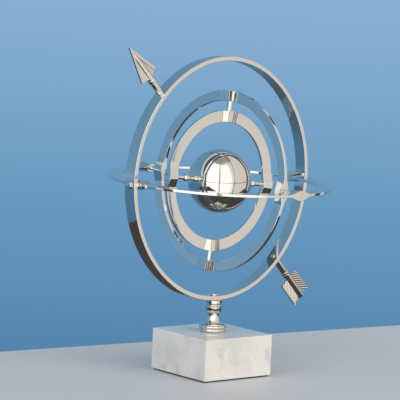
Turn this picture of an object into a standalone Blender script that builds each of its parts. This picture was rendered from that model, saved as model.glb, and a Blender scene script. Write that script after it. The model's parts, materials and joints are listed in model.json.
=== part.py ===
"""Table armillary sphere: a ball inside three gimbal rings, hung in an upright hoop that carries an arrow
and stands on a turned pedestal and a square marble block.

Metres, +Z up. The origin is at the centre of the underside. The hoop lies in the XZ plane. The horizon
ring turns on X, the middle ring on the horizon ring's Y, the inner ring on the middle ring's Z, and the
ball on the inner ring's X.
"""

import math

import bmesh
import bpy
from mathutils import Matrix, Vector

MM = 0.001

# Clearances between pieces.
SEAT = 0.3 * MM  # between two faces that rest on each other
RUNNING = 0.3 * MM  # around a shank or a pin in its bore

# Marble block and its felt.
BLOCK_SIDE = 107.0 * MM
BLOCK_HEIGHT = 51.2 * MM
BLOCK_EDGE = 0.9 * MM  # rounding of the block's edges
BLOCK_TURN = math.radians(-5.4)  # how the block was left standing under the hoop
FELT_THICKNESS = 1.3 * MM
FELT_INSET = 2.5 * MM
NUT_POCKET_R = 12.0 * MM
NUT_POCKET_DEPTH = 14.0 * MM

# The bolt that holds hoop, pedestal and block together.
BOLT_R = 3.0 * MM
BOLT_HEAD_R = 5.4 * MM
BOLT_HEAD_HEIGHT = 2.7 * MM
BOLT_TAIL = 2.5 * MM  # thread that stands out below the nut
NUT_ACROSS = 10.0 * MM
NUT_HEIGHT = 5.0 * MM
WASHER_R = 9.0 * MM
WASHER_THICKNESS = 1.6 * MM

# Turned pedestal: each bead, cove and neck by its radius and its height above the block.
PEDESTAL_HEIGHT = 39.9 * MM
FOOT_BEAD_R, FOOT_BEAD_HEIGHT = 16.6 * MM, 4.0 * MM
MAIN_BEAD_R, MAIN_BEAD_HEIGHT = 17.6 * MM, 4.8 * MM
QUIRK_DEPTH = 1.1 * MM  # groove between two beads
STEP_R, STEP_HEIGHT = 14.0 * MM, 1.2 * MM
NECK_R = 7.2 * MM
COVE_HEIGHT = 10.6 * MM
NECK_HEIGHT = 3.2 * MM
CUP_LIP_R, CUP_R = 7.8 * MM, 9.9 * MM
CUP_HEIGHT = 7.2 * MM
UPPER_BEAD_R, UPPER_BEAD_HEIGHT = 10.9 * MM, 3.6 * MM
UPPER_QUIRK_R = 8.9 * MM
CAP_R = 10.0 * MM

# Upright hoop.
HOOP_R = 152.4 * MM
HOOP_WIDTH = 17.2 * MM
HOOP_THICKNESS = 5.2 * MM
RING_EDGE = 0.45 * MM  # bevel on the edges of the hoop and of the rings

# Gimbal rings: each gap is measured from the next larger ring.
PIVOT_DROP = 2.9 * MM  # the pivots sit this far below the hoop's centre
HORIZON_GAP, HORIZON_WIDTH, HORIZON_THICKNESS = 6.8 * MM, 17.0 * MM, 3.4 * MM
MIDDLE_GAP, MIDDLE_WIDTH, MIDDLE_THICKNESS = 10.4 * MM, 12.8 * MM, 4.4 * MM
INNER_GAP, INNER_WIDTH, INNER_THICKNESS = 12.0 * MM, 14.2 * MM, 3.6 * MM
LUG_OUTER_REACH = 19.0 * MM  # half the length of a lug along the ring's outer edge
LUG_INNER_REACH = 13.5 * MM  # and along its inner edge
LUG_OUTER_WALL = 3.6 * MM  # metal around the bore at the ring's outer edge
LUG_INNER_WALL = 2.4 * MM  # and at its inner edge
HORIZON_TILT = math.radians(1.8)
MIDDLE_TILT = math.radians(5.6)
INNER_TURN = math.radians(-2.0)

# Pivot screws and pins.
SCREW_R = 2.5 * MM
SCREW_HEAD_R = 4.3 * MM
SCREW_HEAD_HEIGHT = 2.2 * MM
SLOT_WIDTH = 1.1 * MM
SLOT_DEPTH = 0.9 * MM
SPACER_R = 4.7 * MM
THIN_SCREW_R = 1.7 * MM
THIN_SPACER_R = 2.9 * MM
SUNK_HEAD_R = 3.9 * MM
SUNK_HEAD_HEIGHT = 1.8 * MM
POLE_PIN_R = 3.35 * MM
PIN_ENGAGEMENT = 9.0 * MM  # length of a screw or a pin inside the lug that it ends in
FLUSH = 0.5 * MM  # how far a pin's end stays inside the outer edge of its lug

# Ball and its stub axles, with a bead and a collar on each.
BALL_R = 40.0 * MM
BALL_WALL = 1.5 * MM
AXLE_R = 2.5 * MM
AXLE_ENTRY = 6.0 * MM  # length inside the ball
BEAD_R = 4.7 * MM
BEAD_FROM_BALL = 17.6 * MM
BEAD_HALF_LENGTH = 3.6 * MM
COLLAR_R = 4.0 * MM
COLLAR_LENGTH = 5.0 * MM

# Arrow, set across the hoop at 45 degrees. Lengths run outwards from the hoop's outer face.
ARROW_ANGLE = math.radians(135)
ARROW_SCREW_R = 1.9 * MM
ARROW_SCREW_HEAD_R = 3.0 * MM
ARROW_SCREW_HEAD_HEIGHT = 1.8 * MM
ARROW_SCREW_DEPTH = 13.0 * MM
HEAD_SHAFT_R, HEAD_SHAFT_LENGTH = 4.2 * MM, 18.8 * MM
SPIGOT_R, SPIGOT_LENGTH = 2.8 * MM, 7.0 * MM
SOCKET_R, SOCKET_LENGTH = 5.2 * MM, 5.5 * MM
BLADE_LENGTH, BLADE_HALF_SPAN = 52.4 * MM, 14.5 * MM
BLADE_THICKNESS = 3.2 * MM  # of the rim along a blade's outer edge
BARB_SWEEP = 5.5 * MM  # how far a barb's corner lies ahead of the blade's root
RIM_WIDTH, RIM_END = 3.7 * MM, 7.8 * MM  # at the barb, and how far before the tip the two rims meet
WEB_THICKNESS = 1.2 * MM  # of the hollowed part between rim and spine
FACET_SPAN, FACET_HEIGHT = 11.8 * MM, 4.25 * MM  # the web swells into a flat-sided pyramid
SPINE_R = 4.7 * MM
TAIL_SHAFT_R, TAIL_SHAFT_LENGTH = 4.2 * MM, 24.3 * MM
FERRULE_R, FERRULE_LENGTH = 5.1 * MM, 3.8 * MM
FLETCH_CORE_R, FLETCH_CORE_LENGTH = 4.7 * MM, 44.2 * MM
VANE_START, VANE_HALF_SPAN, VANE_THICKNESS = 8.2 * MM, 15.6 * MM, 3.2 * MM
VANE_ROOT_LENGTH, VANE_TIP_LENGTH = 31.4 * MM, 36.9 * MM
VANE_BARBS = 8  # slanted grooves on each face of a vane
BARB_DEPTH = 0.6 * MM

# Fineness of round surfaces.
HOOP_STEPS = 96
RING_STEPS = 72
TURN_STEPS = 28
SMALL_STEPS = 16
BALL_STEPS = 32

# Places that follow from the sizes.
BLOCK_BOTTOM = FELT_THICKNESS + SEAT
BLOCK_TOP = BLOCK_BOTTOM + BLOCK_HEIGHT
PEDESTAL_BOTTOM = BLOCK_TOP + SEAT
HOOP_INNER_R = HOOP_R - HOOP_THICKNESS
HOOP_CENTRE = PEDESTAL_BOTTOM + PEDESTAL_HEIGHT + SEAT + HOOP_R
NEST_CENTRE = HOOP_CENTRE - PIVOT_DROP
HORIZON_R = HOOP_INNER_R - HORIZON_GAP
MIDDLE_R = HORIZON_R - HORIZON_WIDTH - MIDDLE_GAP
INNER_R = MIDDLE_R - MIDDLE_WIDTH - INNER_GAP
INNER_INNER_R = INNER_R - INNER_WIDTH

GREY_STEEL = (0.62, 0.61, 0.58)
NICKEL = (0.80, 0.78, 0.74)


def clear_scene():
    for old in list(bpy.data.objects):
        bpy.data.objects.remove(old, do_unlink=True)


def collection(name, rendered=True):
    made = bpy.data.collections.new(name)
    made.hide_render = not rendered
    bpy.context.scene.collection.children.link(made)
    return made


def finish(obj, colour, metallic, roughness):
    """Gives a piece its own Principled material."""
    made = bpy.data.materials.new(obj.name + "_finish")
    made.use_nodes = True
    shader = made.node_tree.nodes["Principled BSDF"]
    shader.inputs["Base Color"].default_value = (*colour, 1)
    shader.inputs["Metallic"].default_value = metallic
    shader.inputs["Roughness"].default_value = roughness
    obj.data.materials.append(made)
    return obj


def add(name, mesh, holder, parent=None):
    obj = bpy.data.objects.new(name, mesh)
    holder.objects.link(obj)
    obj.parent = parent
    return obj


def place(obj, position=(0, 0, 0), along=(0, 0, 1), turn=0):
    """Moves a piece to position, with its own Z along the given direction, turned about that axis."""
    aim = Vector(along).to_track_quat("Z", "Y").to_matrix().to_4x4()
    obj.matrix_local = Matrix.Translation(position) @ aim @ Matrix.Rotation(turn, 4, "Z")
    return obj


def empty(name, position, rotation, parent=None):
    obj = bpy.data.objects.new(name, None)
    PARTS.objects.link(obj)
    obj.parent = parent
    obj.location = position
    obj.rotation_euler = rotation
    return obj


def turned(name, outline, steps, parent=None, holder=None):
    """A turned piece. The outline is (radius, height), from the top down its outer side; one that leaves
    the axis free is closed into a loop, back up its bore."""
    closed = outline[0][0] > 0
    mesh = bpy.data.meshes.new(name)
    last = len(outline) - 1
    edges = [(i, i + 1) for i in range(last)] + ([(last, 0)] if closed else [])
    mesh.from_pydata([(r, 0, z) for r, z in outline], edges, [])
    obj = add(name, mesh, holder or PARTS, parent)
    screw = obj.modifiers.new("turn", "SCREW")
    screw.steps = screw.render_steps = steps
    screw.use_merge_vertices = True
    screw.merge_threshold = 1e-5
    return obj


def cut(obj, cutter):
    """Takes the cutter out of the piece."""
    cutter.hide_render = True
    cutter.display_type = "WIRE"
    boolean = obj.modifiers.new("cut_" + cutter.name, "BOOLEAN")
    boolean.operation = "DIFFERENCE"
    boolean.object = cutter


def drill(obj, name, radius, start, end, steps=SMALL_STEPS):
    """Bores a round hole between two points given in the piece's parent's space."""
    run = Vector(end) - Vector(start)
    outline = [(0, run.length), (radius, run.length), (radius, 0), (0, 0)]
    cutter = turned(name, outline, steps, obj.parent, CUTTERS)
    place(cutter, start, run.normalized())
    cut(obj, cutter)


def arc(centre, radii, first, last, count):
    """Points of an arc of an ellipse in a turned outline; the angles are in degrees, 90 being up."""
    steps = [math.radians(first + (last - first) * i / count) for i in range(count + 1)]
    return [(centre[0] + radii[0] * math.cos(a), centre[1] + radii[1] * math.sin(a)) for a in steps]


def chamfered(radius, top, bottom, chamfer):
    """The outline of a solid rod with its ends chamfered."""
    return [
        (0, top),
        (radius - chamfer, top),
        (radius, top - chamfer),
        (radius, bottom + chamfer),
        (radius - chamfer, bottom),
        (0, bottom),
    ]


def sleeve(outer, bore, top, bottom, chamfer):
    """The outline of a tube with its outer edges chamfered."""
    return [
        (outer - chamfer, top),
        (outer, top - chamfer),
        (outer, bottom + chamfer),
        (outer - chamfer, bottom),
        (bore, bottom),
        (bore, top),
    ]


def box(name, size, holder, parent=None):
    mesh = bpy.data.meshes.new(name)
    bm = bmesh.new()
    bmesh.ops.create_cube(bm, size=1)
    bmesh.ops.scale(bm, vec=size, verts=bm.verts)
    bm.to_mesh(mesh)
    bm.free()
    return add(name, mesh, holder, parent)


def bevel(obj, width, segments=2):
    rounding = obj.modifiers.new("edges", "BEVEL")
    rounding.width = width
    rounding.segments = segments
    rounding.limit_method = "ANGLE"


def plate(name, points, thickness, edge, parent=None):
    """A flat piece with this outline in its XY plane, its edges bevelled."""
    mesh = bpy.data.meshes.new(name)
    bm = bmesh.new()
    bm.faces.new([bm.verts.new((x, y, -thickness / 2)) for x, y in points])
    bmesh.ops.recalc_face_normals(bm, faces=bm.faces)
    raised = bmesh.ops.extrude_face_region(bm, geom=bm.faces[:])
    tops = [v for v in raised["geom"] if isinstance(v, bmesh.types.BMVert)]
    bmesh.ops.translate(bm, vec=(0, 0, thickness), verts=tops)
    bmesh.ops.recalc_face_normals(bm, faces=bm.faces)
    bm.to_mesh(mesh)
    bm.free()
    obj = add(name, mesh, PARTS, parent)
    bevel(obj, edge, 1)
    return obj


def join(obj, other):
    """Welds a helper solid onto the piece."""
    other.hide_render = True
    other.display_type = "WIRE"
    union = obj.modifiers.new("join_" + other.name, "BOOLEAN")
    union.operation = "UNION"
    union.object = other
    for holder in list(other.users_collection):
        holder.objects.unlink(other)
    CUTTERS.objects.link(other)


def hex_prism(name, across, height, parent=None):
    """A six-sided prism that stands on its own origin."""
    mesh = bpy.data.meshes.new(name)
    bm = bmesh.new()
    radius = across / math.sqrt(3)
    bmesh.ops.create_cone(bm, cap_ends=True, segments=6, radius1=radius, radius2=radius, depth=height)
    bmesh.ops.translate(bm, vec=(0, 0, height / 2), verts=bm.verts)
    bm.to_mesh(mesh)
    bm.free()
    return add(name, mesh, PARTS, parent)


def pan_screw(name, shank_r, head_r, head_height, length, parent, slotted=True):
    """A screw with a low domed head. Its origin is under the head, and its shank runs down."""
    dome = arc((head_r * 0.45, head_height * 0.3), (head_r * 0.55, head_height * 0.7), 90, 0, 3)
    outline = [(0, head_height), *dome, (head_r, 0), (shank_r, 0)]
    outline += chamfered(shank_r, 0, -length, shank_r * 0.3)[3:]
    screw = turned(name, outline, SMALL_STEPS, parent)
    if slotted:
        slot = box(name + "_slot", (SLOT_WIDTH, head_r * 3, SLOT_DEPTH * 2), CUTTERS, screw)
        place(slot, (0, 0, head_height), (0, 0, 1))
        cut(screw, slot)
    return screw


def hoop_band():
    """The upright hoop: a flat band turned round Y, drilled for the bolt, the pivots and the arrow."""
    half, edge = HOOP_WIDTH / 2, RING_EDGE
    outline = [
        (HOOP_R - edge, half),
        (HOOP_R, half - edge),
        (HOOP_R, edge - half),
        (HOOP_R - edge, -half),
        (HOOP_INNER_R + edge, -half),
        (HOOP_INNER_R, edge - half),
        (HOOP_INNER_R, half - edge),
        (HOOP_INNER_R + edge, half),
    ]
    hoop = turned("outer_hoop", outline, HOOP_STEPS)
    place(hoop, (0, 0, HOOP_CENTRE), (0, 1, 0))
    centre = Vector((0, 0, HOOP_CENTRE))
    down = Vector((0, 0, -1))
    through = (HOOP_INNER_R - HOOP_THICKNESS, HOOP_R + HOOP_THICKNESS)
    drill(hoop, "bolt_hole", BOLT_R + RUNNING, centre + down * through[0], centre + down * through[1])
    for side, name in ((-1, "left"), (1, "right")):
        start = (side * through[0], 0, NEST_CENTRE)
        end = (side * through[1], 0, NEST_CENTRE)
        drill(hoop, "pivot_hole_" + name, SCREW_R + RUNNING, start, end)
    for out, name in ((ARROW_OUT, "head"), (-ARROW_OUT, "tail")):
        ends = [centre + out * r for r in through]
        drill(hoop, "arrow_hole_" + name, ARROW_SCREW_R + RUNNING, *ends)
    return finish(hoop, NICKEL, 1, 0.12)


def marble_block():
    block = box("marble_base", (BLOCK_SIDE, BLOCK_SIDE, BLOCK_HEIGHT), PARTS)
    place(block, (0, 0, (BLOCK_BOTTOM + BLOCK_TOP) / 2), (0, 0, 1), BLOCK_TURN)
    bevel(block, BLOCK_EDGE)
    below = BLOCK_BOTTOM - BOLT_R
    pocket_top = BLOCK_BOTTOM + NUT_POCKET_DEPTH
    drill(block, "nut_pocket", NUT_POCKET_R, (0, 0, below), (0, 0, pocket_top), TURN_STEPS)
    drill(block, "block_bore", BOLT_R + RUNNING, (0, 0, pocket_top - BOLT_R), (0, 0, BLOCK_TOP + BOLT_R))
    finish(block, (0.88, 0.88, 0.87), 0, 0.2)
    felt_side = BLOCK_SIDE - 2 * FELT_INSET
    felt = box("base_felt", (felt_side, felt_side, FELT_THICKNESS), PARTS)
    place(felt, (0, 0, FELT_THICKNESS / 2), (0, 0, 1), BLOCK_TURN)
    return finish(felt, (0.05, 0.05, 0.055), 0, 0.95)


def pedestal_outline():
    """The pedestal's turned outline, from its cap down to its foot, then back up its bore."""
    cap_edge = 0.5 * MM
    top = PEDESTAL_HEIGHT
    foot_z = FOOT_BEAD_HEIGHT / 2
    main_z = FOOT_BEAD_HEIGHT + MAIN_BEAD_HEIGHT / 2
    step_z = FOOT_BEAD_HEIGHT + MAIN_BEAD_HEIGHT
    cove_z = step_z + STEP_HEIGHT
    neck_z = cove_z + COVE_HEIGHT
    cup_z = neck_z + NECK_HEIGHT
    bead_z = cup_z + CUP_HEIGHT + UPPER_BEAD_HEIGHT / 2
    quirk_z = bead_z + UPPER_BEAD_HEIGHT / 2
    bead_depth = UPPER_BEAD_R - UPPER_QUIRK_R
    outline = [(CAP_R - cap_edge, top), (CAP_R, top - cap_edge), (CAP_R, quirk_z + 1.2 * MM)]
    outline += [(UPPER_QUIRK_R, quirk_z + 0.6 * MM)]
    outline += arc((UPPER_BEAD_R - bead_depth, bead_z), (bead_depth, UPPER_BEAD_HEIGHT / 2), 80, -60, 4)
    outline += arc((CUP_LIP_R, cup_z + CUP_HEIGHT), (CUP_R - CUP_LIP_R, CUP_HEIGHT), -8, -80, 4)
    outline += [(CUP_LIP_R - 0.3 * MM, cup_z), (NECK_R, cup_z - 0.5 * MM), (NECK_R, neck_z)]
    outline += arc((STEP_R, neck_z), (STEP_R - NECK_R, COVE_HEIGHT), 188, 262, 5)
    outline += [(STEP_R, cove_z), (STEP_R, step_z)]
    outline += arc((MAIN_BEAD_R - 2 * QUIRK_DEPTH, main_z), (2 * QUIRK_DEPTH, MAIN_BEAD_HEIGHT / 2), 85, -60, 5)
    outline += arc((FOOT_BEAD_R - QUIRK_DEPTH, foot_z), (QUIRK_DEPTH, FOOT_BEAD_HEIGHT / 2), 60, -85, 4)
    bore = BOLT_R + RUNNING
    return outline + [(bore, 0), (bore, top)]


def stand():
    """Everything under the hoop: block, felt, pedestal, and the bolt with its washer and nut."""
    marble_block()
    pedestal = turned("pedestal", pedestal_outline(), TURN_STEPS)
    place(pedestal, (0, 0, PEDESTAL_BOTTOM))
    finish(pedestal, NICKEL, 1, 0.14)
    seat = HOOP_CENTRE - HOOP_INNER_R + SEAT
    washer_top = BLOCK_BOTTOM + NUT_POCKET_DEPTH - SEAT
    nut_top = washer_top - WASHER_THICKNESS - SEAT
    bolt_end = nut_top - NUT_HEIGHT - BOLT_TAIL
    bolt = pan_screw("tie_bolt", BOLT_R, BOLT_HEAD_R, BOLT_HEAD_HEIGHT, seat - bolt_end, None, False)
    place(bolt, (0, 0, seat))
    finish(bolt, NICKEL, 1, 0.2)
    bore = BOLT_R + RUNNING
    washer = turned("base_washer", sleeve(WASHER_R, bore, 0, -WASHER_THICKNESS, 0.2 * MM), TURN_STEPS)
    place(washer, (0, 0, washer_top))
    finish(washer, GREY_STEEL, 1, 0.35)
    nut = hex_prism("base_nut", NUT_ACROSS, NUT_HEIGHT)
    place(nut, (0, 0, nut_top - NUT_HEIGHT))
    drill(nut, "nut_bore", bore, (0, 0, nut_top - 2 * NUT_HEIGHT), (0, 0, nut_top + NUT_HEIGHT))
    finish(nut, GREY_STEEL, 1, 0.35)


def ring(name, outer, width, thickness, bores, upright, parent):
    """A flat gimbal ring with four swollen lugs, on its own X and Y axes. bores holds the bore radius on
    each of those axes, and upright turns the ring to its place in the nest."""
    inner = outer - width
    half, edge = thickness / 2, RING_EDGE
    profile = [
        (outer - edge, half),
        (outer, half - edge),
        (outer, edge - half),
        (outer - edge, -half),
        (inner + edge, -half),
        (inner, edge - half),
        (inner, half - edge),
        (inner + edge, half),
    ]
    mesh = bpy.data.meshes.new(name)
    bm = bmesh.new()
    corners = [bm.verts.new((r, 0, z)) for r, z in profile]
    loop = [bm.edges.new((corners[i - 1], corners[i])) for i in range(len(corners))]
    full = 2 * math.pi
    bmesh.ops.spin(bm, geom=corners + loop, axis=(0, 0, 1), cent=(0, 0, 0), angle=full, steps=RING_STEPS)
    bmesh.ops.remove_doubles(bm, verts=bm.verts, dist=1e-6)
    bmesh.ops.recalc_face_normals(bm, faces=bm.faces)
    for vert in bm.verts:
        radius = math.hypot(vert.co.x, vert.co.y)
        angle = math.atan2(vert.co.y, vert.co.x)
        angle -= 0.2 * math.sin(4 * angle)  # crowds the sections together at the lugs
        off = math.remainder(angle, math.pi / 2)
        bore = bores[round(angle / (math.pi / 2)) % 2]
        share = (radius - inner) / width
        lug = bore + LUG_INNER_WALL + share * (LUG_OUTER_WALL - LUG_INNER_WALL)
        reach = (LUG_INNER_REACH + share * (LUG_OUTER_REACH - LUG_INNER_REACH)) / radius
        swell = math.cos(math.pi / 2 * min(abs(off) / reach, 1)) ** 2
        rise = max(lug - half, 0) * swell
        height = vert.co.z + math.copysign(rise, vert.co.z)
        vert.co = (radius * math.cos(angle), radius * math.sin(angle), height)
    bm.to_mesh(mesh)
    bm.free()
    mesh.transform(upright)
    mesh.shade_smooth()
    mesh.set_sharp_from_angle(angle=math.radians(40))
    obj = add(name, mesh, PARTS, parent)
    return finish(obj, NICKEL, 1, 0.1)


def gimbals():
    """The three rings and the screws and pins that they hang on."""
    flat = Matrix.Identity(4)
    across_x = Matrix.Rotation(math.pi / 2, 4, "Y")
    across_y = Matrix.Rotation(math.pi / 2, 4, "X")
    screw_bore, thin_bore = SCREW_R + RUNNING, THIN_SCREW_R + RUNNING
    pole_bore, axle_bore = POLE_PIN_R + RUNNING, AXLE_R + RUNNING

    bores = (screw_bore, screw_bore)
    horizon = ring("horizon_ring", HORIZON_R, HORIZON_WIDTH, HORIZON_THICKNESS, bores, flat, HORIZON)
    bores = (pole_bore, screw_bore)
    middle = ring("middle_ring", MIDDLE_R, MIDDLE_WIDTH, MIDDLE_THICKNESS, bores, across_x, MIDDLE)
    bores = (axle_bore, pole_bore)
    inner = ring("inner_ring", INNER_R, INNER_WIDTH, INNER_THICKNESS, bores, across_y, INNER)

    horizon_inner = HORIZON_R - HORIZON_WIDTH
    middle_inner = MIDDLE_R - MIDDLE_WIDTH
    screw_seat = HOOP_R + SEAT
    hoop_reach = screw_seat - HORIZON_R + PIN_ENGAGEMENT
    sunk_seat = HORIZON_R - SUNK_HEAD_HEIGHT
    sunk_reach = sunk_seat - MIDDLE_R + PIN_ENGAGEMENT
    blind = PIN_ENGAGEMENT + SEAT
    past = HORIZON_GAP / 2  # how far a cutter starts outside the metal

    for side, name in ((-1, "left"), (1, "right")):
        out = Vector((side, 0, 0))
        drill(horizon, "horizon_bore_" + name, screw_bore, out * (HORIZON_R - blind), out * (HORIZON_R + past))
        screw = pan_screw("hoop_pivot_screw_" + name, SCREW_R, SCREW_HEAD_R, SCREW_HEAD_HEIGHT, hoop_reach, None)
        place(screw, Vector((0, 0, NEST_CENTRE)) + out * screw_seat, out, math.radians(12 * side))
        finish(screw, NICKEL, 1, 0.18)
        length = HORIZON_GAP - 2 * SEAT
        tube = turned("hoop_pivot_spacer_" + name, sleeve(SPACER_R, screw_bore, length, 0, 0.3 * MM), SMALL_STEPS)
        place(tube, Vector((0, 0, NEST_CENTRE)) + out * (HORIZON_R + SEAT), out)
        finish(tube, NICKEL, 1, 0.16)

    for side, name in ((-1, "front"), (1, "back")):
        out = Vector((0, side, 0))
        drill(horizon, "sunk_bore_" + name, thin_bore, out * (horizon_inner - past), out * (HORIZON_R + past))
        recess = SUNK_HEAD_R + RUNNING
        drill(horizon, "recess_" + name, recess, out * (sunk_seat - SEAT), out * (HORIZON_R + past))
        drill(middle, "middle_bore_" + name, thin_bore, out * (MIDDLE_R - blind), out * (MIDDLE_R + past))
        screw = turned("middle_pivot_screw_" + name, sunk_outline(sunk_reach), SMALL_STEPS, HORIZON)
        place(screw, out * sunk_seat, out, math.radians(25))
        slot = box(screw.name + "_slot", (SLOT_WIDTH, SUNK_HEAD_R * 3, SLOT_DEPTH * 2), CUTTERS, screw)
        place(slot, (0, 0, SUNK_HEAD_HEIGHT), (0, 0, 1))
        cut(screw, slot)
        finish(screw, NICKEL, 1, 0.2)
        outline = sleeve(THIN_SPACER_R, thin_bore, MIDDLE_GAP - 2 * SEAT, 0, 0.2 * MM)
        tube = turned("middle_pivot_spacer_" + name, outline, SMALL_STEPS, HORIZON)
        place(tube, out * (MIDDLE_R + SEAT), out)
        finish(tube, NICKEL, 1, 0.16)

    for side, name in ((-1, "bottom"), (1, "top")):
        out = Vector((0, 0, side))
        drill(middle, "pole_bore_" + name, pole_bore, out * (middle_inner - past), out * (MIDDLE_R + past))
        drill(inner, "pole_socket_" + name, pole_bore, out * (INNER_R - blind), out * (INNER_R + past))
        length = MIDDLE_R - FLUSH - INNER_R + PIN_ENGAGEMENT
        pin = turned("pole_pin_" + name, chamfered(POLE_PIN_R, length, 0, 0.5 * MM), SMALL_STEPS, MIDDLE)
        place(pin, out * (INNER_R - PIN_ENGAGEMENT), out)
        finish(pin, NICKEL, 1, 0.15)

    for side, name in ((-1, "left"), (1, "right")):
        out = Vector((side, 0, 0))
        drill(inner, "axle_bore_" + name, axle_bore, out * (INNER_INNER_R - past), out * (INNER_R + past))


def sunk_outline(length):
    """A screw whose flat head sinks flush into its lug. Its origin is under the head."""
    head = chamfered(SUNK_HEAD_R, SUNK_HEAD_HEIGHT, 0, 0.2 * MM)[:3]
    return [*head, (SUNK_HEAD_R, 0), (THIN_SCREW_R, 0), *chamfered(THIN_SCREW_R, 0, -length, 0.4 * MM)[3:]]


def ball_and_axles():
    """The hollow ball on two stub axles. A collar and a bead sit on each, outside the ball."""
    bore = AXLE_R + RUNNING
    start = math.degrees(math.asin(bore / BALL_R))
    cavity_r = BALL_R - BALL_WALL
    inside = math.degrees(math.asin(bore / cavity_r))
    outline = arc((0, 0), (BALL_R, BALL_R), 90 - start, start - 90, BALL_STEPS // 2)
    outline += arc((0, 0), (cavity_r, cavity_r), inside - 90, 90 - inside, BALL_STEPS // 3)
    ball = turned("ball", outline, BALL_STEPS, BALL)
    place(ball, (0, 0, 0), (1, 0, 0))
    finish(ball, NICKEL, 1, 0.04)

    collar_z = BALL_R + SEAT
    bead_z = BALL_R + BEAD_FROM_BALL
    widest = math.degrees(math.asin(BEAD_HALF_LENGTH / BEAD_R))
    edge = 0.4 * MM
    for side, name in ((-1, "left"), (1, "right")):
        along = (side, 0, 0)
        rod = chamfered(AXLE_R, INNER_R - FLUSH, BALL_R - AXLE_ENTRY, edge)
        tube = sleeve(COLLAR_R, bore, collar_z + COLLAR_LENGTH, collar_z, edge)
        bead = arc((0, bead_z), (BEAD_R, BEAD_R), widest, -widest, 6)
        bead += [(bore, bead_z - BEAD_HALF_LENGTH), (bore, bead_z + BEAD_HALF_LENGTH)]
        for part, outline in (("axle", rod), ("axle_collar", tube), ("axle_bead", bead)):
            piece = turned(part + "_" + name, outline, SMALL_STEPS, BALL)
            place(piece, (0, 0, 0), along)
            finish(piece, NICKEL, 1, 0.14)


def arrow_frame(out):
    """A transform with +X along out, +Y across it in the hoop's plane, from the hoop's outer face."""
    across = Vector((0, 1, 0)).cross(out)
    turn = Matrix((out, across, out.cross(across))).transposed().to_4x4()
    return Matrix.Translation(Vector((0, 0, HOOP_CENTRE)) + out * HOOP_R) @ turn


def rod_on(frame, name, outline, start=0):
    """A turned piece along a frame's X axis, its outline's zero at start."""
    obj = turned(name, outline, SMALL_STEPS)
    lay = Matrix.Rotation(math.pi / 2, 4, "Y")
    obj.matrix_local = frame @ Matrix.Translation((start, 0, 0)) @ lay
    return obj


def screwed_shaft(frame, name, radius, length, spigot):
    """A shaft that stands on the hoop, drilled for its screw, with a spigot on its far end if it has one."""
    bore, depth = ARROW_SCREW_R + RUNNING, ARROW_SCREW_DEPTH + SEAT
    edge = 0.4 * MM
    end = [(0, length + spigot), (SPIGOT_R - edge, length + spigot), (SPIGOT_R, length + spigot - edge)]
    outline = end + [(SPIGOT_R, length)] if spigot else [(0, length)]
    outline += [(radius - edge, length), (radius, length - edge), (radius, SEAT)]
    outline += [(bore, SEAT), (bore, depth), (0, depth)]
    return finish(rod_on(frame, name, outline), NICKEL, 1, 0.2)


def arrow_screw(out, name):
    screw = pan_screw(name, ARROW_SCREW_R, ARROW_SCREW_HEAD_R, ARROW_SCREW_HEAD_HEIGHT, ARROW_SCREW_REACH, None)
    seat = Vector((0, 0, HOOP_CENTRE)) + out * (HOOP_INNER_R - SEAT)
    place(screw, seat, -out, math.radians(40))
    return finish(screw, NICKEL, 1, 0.2)


def facets(name, root, barb, tip):
    """The flat-sided pyramid that thickens the blade towards its spine on both faces."""
    mesh = bpy.data.meshes.new(name)
    corners = [
        (tip, 0, 0),
        (barb, FACET_SPAN, 0),
        (barb, -FACET_SPAN, 0),
        (root, 0, FACET_HEIGHT),
        (root, 0, -FACET_HEIGHT),
    ]
    mesh.from_pydata(corners, [], [(0, 1, 3), (0, 3, 2), (0, 2, 4), (0, 4, 1), (1, 4, 3), (2, 3, 4)])
    return add(name, mesh, PARTS)


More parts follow.
